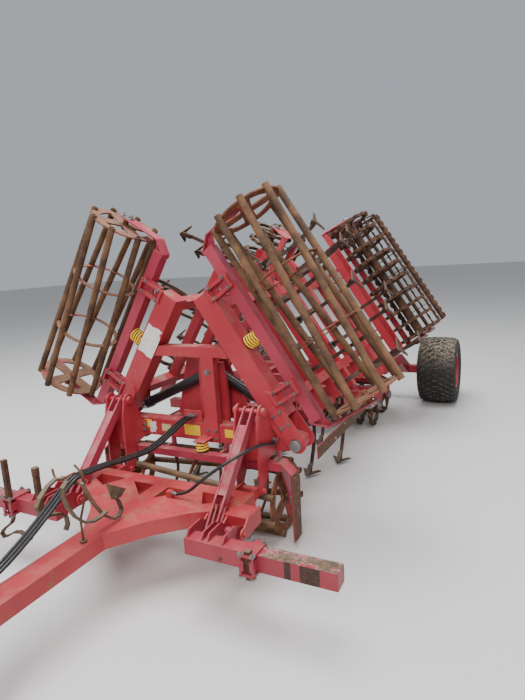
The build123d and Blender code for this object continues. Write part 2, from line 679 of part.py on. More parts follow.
def wing_roller_frame():
    u0, u1 = WING_TUBE_U
    items = [box(u0 + 40, u1 - 40, ROLL_Y0, ROLL_Y1, ROLL_W0, ROLL_W1)]
    for x, s in ((u0, -1), (u1, 1)):
        strip = [(x - s * 75, ROLL_W1), (x - s * 75, ROLL_W1 + 8), (x - s * 40, ROLL_W1 + 8), (x + s * 42, ROLL_W1 - 92),
                 (x + s * 42, TUBE_AXIS_W + 60), (x + s * 32, TUBE_AXIS_W + 60), (x + s * 32, ROLL_W1 - 96),
                 (x - s * 46, ROLL_W1)]
        items.append(prism_y(strip, ROLL_Y0 - 3, ROLL_Y1 + 3))
        items.append(prism_y([(x - s * 60, ROLL_W0), (x - s * 60, ROLL_W1), (x - s * 44, ROLL_W1),
                              (x + s * 33, ROLL_W1 - 94), (x + s * 33, ROLL_W1 - 124)], ROLL_Y0 + 36, ROLL_Y0 + 48))
        bearing = arc(TUBE_AXIS_Y, TUBE_AXIS_W, 56, -170, -10, 6)
        items.append(prism_x([(ROLL_Y0 - 3, ROLL_W1 - 150)] + bearing + [(ROLL_Y1 + 3, ROLL_W1 - 150)],
                             x + s * 32, x + s * 42))
    for u in LINK_BAR_U:
        items.append(box(u - 62, u + 62, LINK_BAR_Y - 6, LINK_BAR_Y + 6, ROLL_W1 - 10, ROLL_W1 + 44))
        for k in (-LINK_BAR_PITCH / 2, LINK_BAR_PITCH / 2):
            for y0 in (LINK_BAR_Y - 20, LINK_BAR_Y + 8):
                items.append(box(u + k - 16, u + k + 16, y0, y0 + 12, ROLL_W1 - 8, ARM_W0 - 8))
            for w in (ROLL_W1 + 24, ARM_W0 - 26):
                items.append(cyl_y(LINK_BAR_Y - 30, LINK_BAR_Y + 30, u + k, w, LINK_BOLT_R))
    frame = fuse(items)
    return frame - cyl_x(u0 - 90, u1 + 90, TUBE_AXIS_Y, TUBE_AXIS_W, SHAFT_R + FIT)


# Fold cylinder from a tower pin at x to the lug of the left wing
WING_LUG_X = PIN_X - CYL_U * sin(LEAN) - CYL_W * cos(LEAN)
WING_LUG_Z = PIN_Z + CYL_U * cos(LEAN) - CYL_W * sin(LEAN)
CYL_Y = (CYL_Y0 + CYL_Y1) / 2


def along(x, t):
    share = t / hypot(WING_LUG_X - x, WING_LUG_Z - TOWER_Z)
    return (x + (WING_LUG_X - x) * share, CYL_Y, TOWER_Z + (WING_LUG_Z - TOWER_Z) * share)


def fold_barrel(x):
    length = hypot(WING_LUG_X - x, WING_LUG_Z - TOWER_Z)
    end = length - 84
    barrel = fuse([
        rod(along(x, 30), along(x, end), CYL_R),
        rod(along(x, end - 46), along(x, end + 6), CYL_R + 6),
        rod(along(x, 40), along(x, 62), CYL_R + 4),
        cyl_y(CYL_Y0, CYL_Y1, x, TOWER_Z, EYE_OUT_R),
    ])
    barrel -= cyl_y(CYL_Y0 - 5, CYL_Y1 + 5, x, TOWER_Z, CYL_PIN_R + FIT)
    return barrel - rod(along(x, 120), along(x, length), ROD_R + FIT)


def fold_rod(x):
    length = hypot(WING_LUG_X - x, WING_LUG_Z - TOWER_Z)
    reach = LUG_GAP - 0.5
    return fuse([
        rod(along(x, 150), along(x, length - 20), ROD_R),
        cyl_y(CYL_Y0, CYL_Y1, WING_LUG_X, WING_LUG_Z, EYE_OUT_R),
        cyl_y(CYL_Y0 - reach, CYL_Y1 + reach, WING_LUG_X, WING_LUG_Z, CYL_PIN_R),
    ])


def drawbar():
    outline = [(TONGUE_HALF, TONGUE_Y0), (TONGUE_HALF, -960), (240, -740), (430, -560), (530, CORNER_Y0),
               (CORNER_X, CORNER_Y0), (CORNER_X, CORNER_Y1), (690, CORNER_Y1), (690, -180)]
    body = prism_z(outline + [(-x, y) for x, y in reversed(outline)], BAR_Z0, BAR_Z1)
    for s in (-1, 1):
        for hole in ([(60, -300), (60, -470), (250, -300)], [(340, -280), (590, -280), (570, -360), (430, -430)]):
            body -= prism_z([(s * x, y) for x, y in hole], BAR_Z0 - 5, BAR_Z1 + 5)
    items = [body]
    for s in (-1, 1):
        x = s * POST_X
        ear = [(-190, 405), (FOOT_Y - 30, 432)] + arc(FOOT_Y, FOOT_Z, 34, -100, 95, 8) + [(-190, BAR_Z1)]
        for a in (-78, 60):
            items.append(prism_x(ear, x + a, x + a + 18))
        items.append(cyl_x(x - 115, x + 115, FOOT_Y, FOOT_Z, FOOT_PIN_R))
        cheek = [(CORNER_Y0 + 20, BAR_Z0), (CORNER_Y0 + 20, BAR_Z1)] + arc(LINK_Y, LINK_Z, 40, 75, 250, 8)
        for a in (518, 654):
            items.append(prism_x(cheek, s * a, s * (a + 12)))
        outer = [(CORNER_Y1, BAR_Z0), (CORNER_Y1, BAR_Z1 + 8), (CORNER_Y0, BAR_Z1 + 8)]
        items.append(prism_x(outer + arc(LINK_Y, LINK_Z, 40, 75, 250, 8), s * CORNER_X, s * (CORNER_X + 12)))
        items.append(cyl_x(s * 508, s * (CORNER_X + 24), LINK_Y, LINK_Z, LINK_PIN_R))
    # Block for the end of the single hose
    x, y, z = CROSS[-1]
    items.append(box(x - 40, x, y - 20, y + 20, BAR_Z1 - 4, z + 16))
    # Plate in which the hose couplers are parked
    items.append(box(-62, 62, PARK_Y, PARK_Y + 10, BAR_Z1 - 4, BAR_Z1 + 110))
    body = fuse(items)
    for k in HOSE_SLOTS:
        body -= cyl_y(PARK_Y - 5, PARK_Y + 15, BUNDLE[-1][0] + k * BUNDLE[-1][3], BUNDLE[-1][2], PARK_HOLE_R + FIT)
    # Notches in which the top links swing down to their pins
    for s in (-1, 1):
        body -= box(s * (POST_X - 48), s * (POST_X + 48), CORNER_Y0 - 5, CORNER_Y0 + 76, BAR_Z0 - 5, BAR_Z1 + 5)
    return body


def hitch_eye():
    y = HITCH_Y + EYE_R
    eye = fuse([
        box(-60, 60, TONGUE_Y0 - 12, TONGUE_Y0, BAR_Z0 + 4, BAR_Z1 - 4),
        box(-35, 35, y, TONGUE_Y0 - 10, 430, 470),
        cyl_z(450 - EYE_T / 2, 450 + EYE_T / 2, 0, y, EYE_R),
    ])
    return eye - cyl_z(BAR_Z0, BAR_Z1, 0, y, EYE_BORE_R)


# Top link with a slot for the drawbar pin, in coordinates along and across the link
LINK_LENGTH = hypot(LINK_Y, POST_TOP_Z - LINK_Z)
LINK_ANGLE = atan2(LINK_Z - POST_TOP_Z, LINK_Y)


def link_at(t, w):
    c = cos(LINK_ANGLE)
    s = sin(LINK_ANGLE)
    return (c * t - s * w, POST_TOP_Z + s * t + c * w)


def top_link(x):
    n = LINK_LENGTH
    half = LINK_HALF
    outline = [link_at(t, w) for t, w in arc(0, 0, half, 90, 270, 6) + arc(n + 14, 0, half, -90, 90, 6)]
    slot_half = LINK_PIN_R + 1
    slot = [link_at(n - 150, -slot_half), link_at(n + 22, -slot_half), link_at(n + 22, slot_half),
            link_at(n - 150, slot_half)]
    items = []
    for a in (-38, 26):
        items.append(prism_x(outline, x + a, x + a + 12) - prism_x(slot, x + a - 2, x + a + 14))
    spacer = [link_at(120, -30), link_at(120, 30), link_at(n - 200, 30), link_at(n - 200, -30)]
    items.append(prism_x(spacer, x - 27, x + 27))
    return fuse(items) - cyl_x(x - 80, x + 80, 0, POST_TOP_Z, POST_PIN_R + FIT)


# Toolbar in front of a wheel track: square tube, four curved lugs, spacer and clamp
def toolbar():
    x0, x1 = TB_X
    items = [box(x0, x1, TB_Y0, TB_Y1, TB_Z0, TB_Z1)]
    lug = [(TB_Y1 - 4, TB_Z1 - 4), (TB_Y0 + 6, TB_Z1 - 4), (TB_Y0 + 44, TB_Z1 + 40), (LINK_Y - 60, TB_Z1 + 44)]
    lug += arc(LINK_Y, LINK_Z, 44, 70, -80, 7) + [(TB_Y1 + 40, TB_Z0 + 12), (TB_Y1 - 4, TB_Z0 + 12)]
    for x in LUG_X:
        items.append(prism_x(lug, x, x + LUG_T))
    items.append(cyl_x(LUG_X[2] + LUG_T - 1, LUG_X[3] + 1, LINK_Y, LINK_Z, 30))
    items.append(clamp(TB_CLAMP_X))
    return fuse(items) - cyl_x(500, 830, LINK_Y, LINK_Z, LINK_PIN_R + FIT)


SHANK_HALF = 17


# Clamp round the toolbar with a window for a square shank at its front
def clamp(x):
    y0 = TB_Y0 - 2 * SHANK_HALF
    plates = []
    for z in (TB_Z1, TB_Z0 - 12):
        plates.append(box(x - 46, x + 46, y0 - 14, TB_Y1 + 26, z, z + 12))
    plates.append(box(x - 46, x + 46, TB_Y1 + 14, TB_Y1 + 26, TB_Z0 - 12, TB_Z1 + 12))
    for s in (-1, 1):
        plates.append(box(x + s * (SHANK_HALF + 1), x + s * 46, y0 - 14, TB_Y0, TB_Z0 + 20, TB_Z1 - 20))
        plates.append(box(x + s * 30, x + s * 46, y0 - 14, y0, TB_Z0 - 4, TB_Z1 + 4))
    return fuse(plates) - box(x - SHANK_HALF - 1, x + SHANK_HALF + 1, y0 - 1, TB_Y0, TB_Z0 - 30, TB_Z1 + 30)


# Track tine shanks in the clamps: the right one with its bent spring leg, the left one bare, and a spare shank
def track_tines():
    y = TB_Y0 - SHANK_HALF
    n = SHANK_HALF
    x = -TB_CLAMP_X
    leg = [(x, 350), (x + 8, 318), (x - 16, 284), (x - 66, 250), (x - 116, 214), (x - 150, 176), (x - 124, 152),
           (x - 66, 176), (x - 2, 214), (x + 64, 228), (x + 128, 212), (x + 166, 186)]
    spare = 1 - LUG_X[1] - n
    return Part() + [
        box(x - n, x + n, y - n, y + n, 330, 767) + prism_y(ribbon(leg, 13), y - 15, y + 15),
        box(TB_CLAMP_X - n, TB_CLAMP_X + n, y - n, y + n, 330, TB_Z1 + 30),
        box(spare - n, spare + n, y - n, y + n, TB_Z0 + 30, 740) + cyl_z(696, 752, spare, y, 26),
    ]


# Two spring tines taken off and hung on the hose holder, each seated with a small gap, columns: y, z
HANG_Y = -1010
HANG_Z = 832
HUNG_T = 12
HUNG_SEAT = 0.3
HUNG_FAR = ((HANG_Y + 16, HANG_Z + HOLDER_R + HUNG_SEAT + HUNG_T / 2),
            (HANG_Y - 18, HANG_Z + HOLDER_R + HUNG_SEAT + HUNG_T / 2), (-1060, 857), (-1116, 840), (-1178, 795),
            (-1205, 754), (-1192, 711), (-1144, 675), (-1063, 646), (-1019, 604), (-1014, 556), (-1035, 524))
HUNG_NEAR = ((-1040, 856), (-1009, 773), (-969, 690), (-911, 594), (-845, 538), (-788, 530), (-762, 561),
             (-780, 625), (-806, 667))
HUNG_RING = ((-1160, 924), (-1197, 900), (-1201, 853), (-1183, 785), (-1139, 703), (-1082, 642), (-1016, 616),
             (-960, 616), (-912, 624))
SHARE = ((-864, 777), (-706, 672), (-757, 641), (-833, 657))


def hung_tines():
    x = STEM_X + HOLDER_R + HUNG_SEAT
    return Part() + [
        prism_x(ribbon(HUNG_FAR, HUNG_T), -154, -122),
        prism_x(ribbon(HUNG_NEAR, HUNG_T), x, x + 28) + prism_x(SHARE, x + 10, x + 18),
        prism_x(ribbon(HUNG_RING, HUNG_T), x + 28 + HUNG_SEAT, x + 56),
    ]


def jack_case():
    plate = box(TONGUE_HALF, TONGUE_HALF + 12, JACK_Y - 60, JACK_Y + 60, BAR_Z0, BAR_Z1)
    case = box(JACK_X - 40, JACK_X + 40, JACK_Y - 40, JACK_Y + 40, 330, JACK_TOP)
    crank = fuse([cyl_x(JACK_X + 38, JACK_X + 90, JACK_Y, JACK_TOP - 60, 9),
                  cyl_z(JACK_TOP - 180, JACK_TOP - 51, JACK_X + 84, JACK_Y, 9)])
    return fuse([plate, case, crank]) - box(JACK_X - 28, JACK_X + 28, JACK_Y - 28, JACK_Y + 28, 320, JACK_TOP - 10)


def jack_leg():
    half = 28 - FIT
    return fuse([
        box(JACK_X - half, JACK_X + half, JACK_Y - half, JACK_Y + half, JACK_FOOT_T, JACK_TOP - JACK_LIFT - 15),
        box(JACK_X - 70, JACK_X + 70, JACK_Y - 70, JACK_Y + 70, 0, JACK_FOOT_T),
    ])


def axle_frame():
    items = [cyl_x(-AXLE_ARM_X - 40, AXLE_ARM_X + 40, AXLE_PIVOT_Y, AXLE_PIVOT_Z, AXLE_TUBE_R)]
    arm = [(AXLE_PIVOT_Y - 60, AXLE_PIVOT_Z - 40), (AXLE_PIVOT_Y - 60, AXLE_PIVOT_Z + 60),
           (AXLE_PIVOT_Y + 60, AXLE_PIVOT_Z + 60), (3560, AXLE_PIVOT_Z + 30), (TYRE_Y + 50, TYRE_R + 50),
           (TYRE_Y + 50, TYRE_R - 50), (TYRE_Y - 60, TYRE_R - 50), (3540, AXLE_PIVOT_Z - 90)]
    lug = [(AXLE_PIVOT_Y - 70, AXLE_PIVOT_Z)] + arc(AXLUG_Y, AXLUG_Z, 38, 170, 10, 6) + [(AXLE_PIVOT_Y + 70, AXLE_PIVOT_Z)]
    for s in (-1, 1):
        items.append(prism_x(arm, s * AXLE_ARM_X - 38, s * AXLE_ARM_X + 38))
        items.append(cyl_x(s * (AXLE_BEAM_X - 20), s * (WHEEL_X + 40), TYRE_Y, TYRE_R, STUB_R))
        items.append(prism_x(lug, s * 34, s * 46))
        items.append(cyl_x(s * 45, s * 56, AXLUG_Y, AXLUG_Z, 27))
    items.append(box(-AXLE_BEAM_X, AXLE_BEAM_X, TYRE_Y - 50, TYRE_Y + 50, TYRE_R - 50, TYRE_R + 50))
    return fuse(items)


def axle_barrel():
    barrel = fuse([
        rod((0, AXCYL_Y + 48, AXCYL_Z), (0, AXLUG_Y - 160, AXLUG_Z), 40),
        rod((0, AXLUG_Y - 200, AXLUG_Z), (0, AXLUG_Y - 152, AXLUG_Z), 47),
        box(-26, 26, AXCYL_Y, AXCYL_Y + 50, AXCYL_Z - 26, AXCYL_Z + 26),
        cyl_x(-30, 30, AXCYL_Y, AXCYL_Z, 32),
    ])
    barrel -= cyl_x(-40, 40, AXCYL_Y, AXCYL_Z, CYL_PIN_R + FIT)
    return barrel - rod((0, AXCYL_Y + 120, AXCYL_Z), (0, AXLUG_Y, AXLUG_Z), ROD_R + FIT)


def axle_rod():
    return fuse([
        rod((0, AXCYL_Y + 240, AXCYL_Z), (0, AXLUG_Y - 20, AXLUG_Z), ROD_R),
        cyl_x(-30, 30, AXLUG_Y, AXLUG_Z, 32),
        cyl_x(-33.5, 33.5, AXLUG_Y, AXLUG_Z, CYL_PIN_R),
    ])


def tyre(x):
    profile = [(BEAD_R, RIM_HALF - 5), (325, TYRE_HALF), (TYRE_R - 14, 196), (TYRE_R, 0), (TYRE_R - 14, -196),
               (325, -TYRE_HALF), (BEAD_R, 5 - RIM_HALF)]
    face = make_face(Polyline(*[(r, 0, a) for r, a in profile], close=True))
    return Pos(x, TYRE_Y, TYRE_R) * Rot(0, 90, 0) * revolve(face, Axis.Z, 360)


def rim(x, s):
    half = RIM_HALF + 10
    items = [cyl_x(x - half, x + half, TYRE_Y, TYRE_R, BEAD_R)]
    for e in (-1, 1):
        items.append(cyl_x(x + e * (half - 8), x + e * half, TYRE_Y, TYRE_R, BEAD_R + 16))
    shell = fuse(items) - cyl_x(x - half - 5, x + half + 5, TYRE_Y, TYRE_R, BEAD_R - 14)
    disc = x + s * 20
    wheel = fuse([shell, cyl_x(disc - 8, disc + 8, TYRE_Y, TYRE_R, BEAD_R - 6), cyl_x(x - 60, x + 60, TYRE_Y, TYRE_R, 70)])
    return wheel - cyl_x(x - 200, x + 200, TYRE_Y, TYRE_R, STUB_R + FIT)


# Hose bundle, columns: x, y, z of the middle hose, and how far the hoses spread there
HOSE_X = -30
HOSE_SLOTS = (-HOSE_PITCH, 0, HOSE_PITCH)
HOSE_Z = BEAM_Z1 + 61
BUNDLE = (
    (HOSE_X, BULKHEAD_Y - 24, HOSE_Z, 1), (HOSE_X, 60, HOSE_Z, 1), (HOSE_X, -130, 822, 1), (HOSE_X, -350, 780, 1),
    (HOSE_X, -590, 812, 1), (HOSE_X, -800, 850, 1), (HOSE_X, -1010, 862, 1), (-48, -1120, 790, 1),
    (-78, -1240, 700, 1), (-100, -1370, 615, 1), (-112, -1510, 548, 1), (-70, -1740, 540, 1.2),
    (0, -1900, 570, 1.4), (0, PARK_Y + 58, 570, 1.4),
)


def bundle_hose(k, name):
    return bent_tube([(x + k * spread, y, z) for x, y, z, spread in BUNDLE], HOSE_R, name)


# Single hose from the cross beam over the left top link to a block on the drawbar
CROSS = ((705, 166, 752), (705, 70, 752), (715, -60, 796), (712, -200, 808), (600, -385, 752), (440, -420, 650),
         (290, -420, 530), (190, -420, 530))


# Coupler at the end of a hose, held in the parking plate
def coupler(k):
    x, y, z, spread = BUNDLE[-1]
    x += k * spread
    return fuse([cyl_y(PARK_Y + 10, y, x, z, PARK_HOLE_R + 3), cyl_y(PARK_Y - 34, PARK_Y + 12, x, z, PARK_HOLE_R)])


# Bent rod that holds the hoses above the tongue
def hose_holder():
    y = HANG_Y
    foot = BAR_Z1 + 6
    stem = bent_tube([(STEM_X, y - 54, foot), (STEM_X, y - 54, 640), (STEM_X, y, 760), (STEM_X, y, 900),
                      (STEM_X - 44, y - 10, 950)], HOLDER_R, "holder stem")
    hook = bent_tube([(STEM_X, y, HANG_Z), (-200, y, HANG_Z), (-212, y, HANG_Z + 60)], HOLDER_R, "holder hook")
    return fuse([stem, hook, cyl_z(BAR_Z1, BAR_Z1 + 12, STEM_X, y - 54, 20)])


save(centre_frame(), "centre_frame")
save(tower(), "tower")
save(Part() + [post(POST_X), post(-POST_X)], "posts")
save(wing_rest(), "wing_rest")
save(centre_roller_frame(), "roller_frame_centre")
save(fuse([tine(x, ROWS[row], PIN_Z - ROW_HALF, PIN_Z + TINE_TIP) for row, x in CENTRE_TINES]), "tines_centre")
save(board(-700, 700, PIN_Z + BOARD_W0 + CENTRE_BOARD_DROP, PIN_Z + BOARD_W1 + CENTRE_BOARD_DROP, (-LONG_X, LONG_X),
           PIN_Z - LONG_HALF), "board_centre")
save(Pos(0, TUBE_AXIS_Y, TUBE_AXIS_Z) * tube_roller(-CENTRE_TUBE_X, CENTRE_TUBE_X, (0.2, 0.5, 0.8)), "tube_roller_centre")
save(rear_frame(-CENTRE_REAR_X, CENTRE_REAR_X, REAR_AXIS_Z, REAR_Y1, PIN_Z, (-310, 310)), "rear_roller_frame_centre")
save(Pos(0, RING_AXIS_Y, REAR_AXIS_Z) * ring_roller(-CENTRE_REAR_X, CENTRE_REAR_X), "ring_roller_centre")
save(Pos(0, SLAT_AXIS_Y, REAR_AXIS_Z) * slat_roller(-CENTRE_REAR_X, CENTRE_REAR_X), "slat_roller_centre")
both_sides(side_plate(), "side_plate")

both_wings(wing_frame(), "wing_frame")
both_wings(wing_tubes(), "wing_tubes")
both_wings(fuse([tine(u, ROWS[row], -ROW_HALF, TINE_TIP) for row, u in WING_TINES]), "tines")
both_wings(board(120, 1420, BOARD_W0, BOARD_W1, LONG_U, -LONG_HALF), "board")
both_wings(wing_roller_frame(), "roller_frame")
both_wings(Pos(0, TUBE_AXIS_Y, TUBE_AXIS_W) * tube_roller(*WING_TUBE_U), "tube_roller")
both_wings(spring((800, 240, ROLL_W1), (800, 240, ARM_W0), 54, 5, 14), "spring")
both_wings(rear_frame(*WING_REAR_U, REAR_AXIS_W, REAR_Y1 + REAR_GAP, 0, (400, 1100)), "rear_roller_frame")
both_wings(Pos(0, RING_AXIS_Y, REAR_AXIS_W) * ring_roller(*WING_REAR_U), "ring_roller")
both_wings(Pos(0, SLAT_AXIS_Y, REAR_AXIS_W) * slat_roller(*WING_REAR_U), "slat_roller")
save(spring((SPRING_X, SPRING_Y, ROLL_BEAM_Z[1]), (SPRING_X, SPRING_Y, BEAM_Z0 + 36), 50, 4, 12), "spring_centre")

save(fold_barrel(TOWER_LEFT), "fold_barrel_left")
save(fold_rod(TOWER_LEFT), "fold_rod_left")
save(mirrored(fold_barrel(-TOWER_RIGHT)), "fold_barrel_right")
save(mirrored(fold_rod(-TOWER_RIGHT)), "fold_rod_right")
save(drawbar(), "drawbar")
save(hitch_eye(), "hitch_eye")
save(top_link(POST_X), "top_link_left")
save(top_link(-POST_X), "top_link_right")
left_toolbar = toolbar()
save(Part() + [left_toolbar, mirrored(left_toolbar)], "toolbars")
save(track_tines(), "track_tines")
save(hung_tines(), "hung_tines")
save(jack_case(), "jack_case")
save(jack_leg(), "jack_leg")
save(axle_frame(), "axle_frame")
save(axle_barrel(), "axle_barrel")
save(axle_rod(), "axle_rod")
for side, name in ((1, "left"), (-1, "right")):
    save(tyre(side * WHEEL_X), "tyre_" + name)
    save(rim(side * WHEEL_X, side), "rim_" + name)
for number, slot in enumerate(HOSE_SLOTS, 1):
    save(bundle_hose(slot, "hose " + str(number)), "hose_" + str(number))
save(bent_tube(CROSS, HOSE_R, "hose 4"), "hose_4")
save(Part() + [coupler(slot) for slot in HOSE_SLOTS], "couplers")
save(hose_holder(), "hose_holder")
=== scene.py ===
import json
from math import sin, cos, pi, radians
import bpy
from mathutils import Vector, Matrix
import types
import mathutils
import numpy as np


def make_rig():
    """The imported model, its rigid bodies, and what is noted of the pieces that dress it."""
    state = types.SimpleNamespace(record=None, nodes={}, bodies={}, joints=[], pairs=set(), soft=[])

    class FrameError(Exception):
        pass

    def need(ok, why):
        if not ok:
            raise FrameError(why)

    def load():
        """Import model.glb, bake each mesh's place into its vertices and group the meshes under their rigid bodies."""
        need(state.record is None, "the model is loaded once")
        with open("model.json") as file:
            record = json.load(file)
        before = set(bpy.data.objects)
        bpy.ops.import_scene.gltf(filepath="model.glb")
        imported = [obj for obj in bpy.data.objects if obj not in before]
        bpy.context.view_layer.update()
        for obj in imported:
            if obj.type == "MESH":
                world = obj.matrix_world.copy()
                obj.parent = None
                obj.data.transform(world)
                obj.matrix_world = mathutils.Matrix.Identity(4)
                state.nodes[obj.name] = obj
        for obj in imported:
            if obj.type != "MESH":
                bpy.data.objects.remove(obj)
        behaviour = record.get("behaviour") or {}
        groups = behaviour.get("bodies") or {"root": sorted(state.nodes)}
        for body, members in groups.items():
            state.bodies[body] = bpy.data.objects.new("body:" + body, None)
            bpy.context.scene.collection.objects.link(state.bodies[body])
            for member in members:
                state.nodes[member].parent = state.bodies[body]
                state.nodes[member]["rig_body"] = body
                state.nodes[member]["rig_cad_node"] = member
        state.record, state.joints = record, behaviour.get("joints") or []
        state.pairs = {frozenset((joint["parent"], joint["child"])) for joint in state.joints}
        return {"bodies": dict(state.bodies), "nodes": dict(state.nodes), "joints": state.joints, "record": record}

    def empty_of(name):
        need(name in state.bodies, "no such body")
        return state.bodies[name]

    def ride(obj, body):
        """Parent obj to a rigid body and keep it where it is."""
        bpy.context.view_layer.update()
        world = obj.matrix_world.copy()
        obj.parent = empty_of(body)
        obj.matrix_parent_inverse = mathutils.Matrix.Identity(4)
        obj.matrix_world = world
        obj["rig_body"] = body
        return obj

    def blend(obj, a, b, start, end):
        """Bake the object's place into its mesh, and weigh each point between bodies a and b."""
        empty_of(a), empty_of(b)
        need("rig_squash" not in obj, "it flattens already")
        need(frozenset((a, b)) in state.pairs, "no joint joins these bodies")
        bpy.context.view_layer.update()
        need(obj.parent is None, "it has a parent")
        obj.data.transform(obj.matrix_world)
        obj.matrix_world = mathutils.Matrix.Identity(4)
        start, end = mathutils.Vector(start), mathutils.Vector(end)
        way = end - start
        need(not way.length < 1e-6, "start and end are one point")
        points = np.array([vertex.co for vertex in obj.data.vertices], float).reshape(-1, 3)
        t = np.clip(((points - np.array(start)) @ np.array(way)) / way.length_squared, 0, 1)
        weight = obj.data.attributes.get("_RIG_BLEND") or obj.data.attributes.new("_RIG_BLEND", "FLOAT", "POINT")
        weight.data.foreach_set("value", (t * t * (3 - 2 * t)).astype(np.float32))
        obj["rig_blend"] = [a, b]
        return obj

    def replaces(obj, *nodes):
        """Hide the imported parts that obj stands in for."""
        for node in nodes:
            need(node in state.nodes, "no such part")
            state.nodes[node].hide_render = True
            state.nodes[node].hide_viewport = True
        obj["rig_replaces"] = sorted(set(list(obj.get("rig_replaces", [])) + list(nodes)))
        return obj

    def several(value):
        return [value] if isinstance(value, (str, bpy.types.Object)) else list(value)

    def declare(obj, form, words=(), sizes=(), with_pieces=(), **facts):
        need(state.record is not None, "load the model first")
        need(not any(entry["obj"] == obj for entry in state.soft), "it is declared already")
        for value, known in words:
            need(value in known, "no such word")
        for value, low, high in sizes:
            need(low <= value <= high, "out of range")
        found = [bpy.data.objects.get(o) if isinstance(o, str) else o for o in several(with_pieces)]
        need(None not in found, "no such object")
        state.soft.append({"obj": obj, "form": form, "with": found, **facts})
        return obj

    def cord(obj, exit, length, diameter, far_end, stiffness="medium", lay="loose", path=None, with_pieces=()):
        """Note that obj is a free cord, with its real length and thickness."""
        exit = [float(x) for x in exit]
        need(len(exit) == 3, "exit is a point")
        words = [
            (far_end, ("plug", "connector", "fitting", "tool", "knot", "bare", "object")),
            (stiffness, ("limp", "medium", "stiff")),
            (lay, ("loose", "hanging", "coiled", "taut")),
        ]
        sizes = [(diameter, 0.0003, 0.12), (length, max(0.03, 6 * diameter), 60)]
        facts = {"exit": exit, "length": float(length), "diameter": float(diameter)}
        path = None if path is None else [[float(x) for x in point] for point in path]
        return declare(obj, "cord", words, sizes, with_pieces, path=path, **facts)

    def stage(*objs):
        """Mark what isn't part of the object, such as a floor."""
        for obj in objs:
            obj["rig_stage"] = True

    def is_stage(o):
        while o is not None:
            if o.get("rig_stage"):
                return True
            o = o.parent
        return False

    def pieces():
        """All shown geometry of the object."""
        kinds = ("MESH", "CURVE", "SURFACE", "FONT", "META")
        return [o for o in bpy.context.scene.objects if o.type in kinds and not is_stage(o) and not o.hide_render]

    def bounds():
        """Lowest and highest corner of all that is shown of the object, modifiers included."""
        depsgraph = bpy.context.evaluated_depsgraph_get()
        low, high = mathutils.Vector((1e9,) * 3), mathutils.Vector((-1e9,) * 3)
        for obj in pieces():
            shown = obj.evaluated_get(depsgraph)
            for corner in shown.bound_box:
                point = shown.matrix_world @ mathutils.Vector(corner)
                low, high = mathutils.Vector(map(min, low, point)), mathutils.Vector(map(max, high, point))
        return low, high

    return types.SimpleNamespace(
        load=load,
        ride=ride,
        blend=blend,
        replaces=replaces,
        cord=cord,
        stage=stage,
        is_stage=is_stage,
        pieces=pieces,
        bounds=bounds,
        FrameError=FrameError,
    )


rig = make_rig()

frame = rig.load()
size_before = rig.bounds()
NODES = frame["nodes"]

# Lengths in the tables are millimetres from the front post pins; the frame's middle lies Y_MID behind them
Y_MID = 993.5
# The folded wings lean inwards by LEAN from their hinge pins
LEAN = radians(32.5)
PIN_X = 863
PIN_Z = 739
X = Vector((1, 0, 0))
Y = Vector((0, 1, 0))
Z = Vector((0, 0, 1))
SIDES = ((1, "left"), (-1, "right"))


def at(x, y, z):
    return Vector((x, y - Y_MID, z)) / 1000


# A point on a folded wing: u outwards along it, y rearwards, w upwards when it lies level
def on_wing(u, y, w, side=1):
    return at(side * (PIN_X - u * sin(LEAN) - w * cos(LEAN)), y, PIN_Z + u * cos(LEAN) - w * sin(LEAN))


def wing_dir(u, y, w, side=1):
    return Vector((side * (-u * sin(LEAN) - w * cos(LEAN)), y, u * cos(LEAN) - w * sin(LEAN))).normalized()


# Materials

def shader(name, rough=0.5, metal=0.0):
    mat = bpy.data.materials.new(name)
    mat.use_nodes = True
    tree = mat.node_tree
    bsdf = tree.nodes["Principled BSDF"]
    bsdf.inputs["Roughness"].default_value = rough
    bsdf.inputs["Metallic"].default_value = metal
    return mat, tree, bsdf


def node(tree, kind, **inputs):
    n = tree.nodes.new(kind)
    for key, value in inputs.items():
        n.inputs[key].default_value = value
    return n


def object_coords(tree):
    return tree.nodes.new("ShaderNodeTexCoord").outputs["Object"]


def split(tree, vector):
    n = tree.nodes.new("ShaderNodeSeparateXYZ")
    tree.links.new(vector, n.inputs[0])
    return n.outputs


def noise(tree, coords, scale, detail=5.0, stretch=(1, 1, 1), rough=0.55):
    mapping = tree.nodes.new("ShaderNodeMapping")
    mapping.inputs["Scale"].default_value = stretch
    tree.links.new(coords, mapping.inputs["Vector"])
    n = node(tree, "ShaderNodeTexNoise", Scale=scale, Detail=detail, Roughness=rough)
    tree.links.new(mapping.outputs["Vector"], n.inputs["Vector"])
    return n.outputs["Fac"]


def ramp(tree, value, low, high, to_low=0.0, to_high=1.0):
    n = tree.nodes.new("ShaderNodeMapRange")
    n.inputs["From Min"].default_value = low
    n.inputs["From Max"].default_value = high
    n.inputs["To Min"].default_value = to_low
    n.inputs["To Max"].default_value = to_high
    n.interpolation_type = "SMOOTHSTEP"
    tree.links.new(value, n.inputs["Value"])
    return n.outputs["Result"]


# A math node; each value is a number or a socket
def calc(tree, kind, a, b, clamp=True):
    n = tree.nodes.new("ShaderNodeMath")
    n.operation = kind
    n.use_clamp = clamp
    for value, socket in ((a, n.inputs[0]), (b, n.inputs[1])):
        if isinstance(value, float):
            socket.default_value = value
        else:
            tree.links.new(value, socket)
    return n.outputs[0]


def product(tree, a, b):
    return calc(tree, "MULTIPLY", a, b)


# A colour between two; each is a tuple or a socket
def blend_colour(tree, factor, low, high):
    n = tree.nodes.new("ShaderNodeMix")
    n.data_type = "RGBA"
    tree.links.new(factor, n.inputs[0])
    for value, socket in ((low, n.inputs[6]), (high, n.inputs[7])):
        if isinstance(value, tuple):
            socket.default_value = value + (1.0,)
        else:
            tree.links.new(value, socket)
    return n.outputs[2]


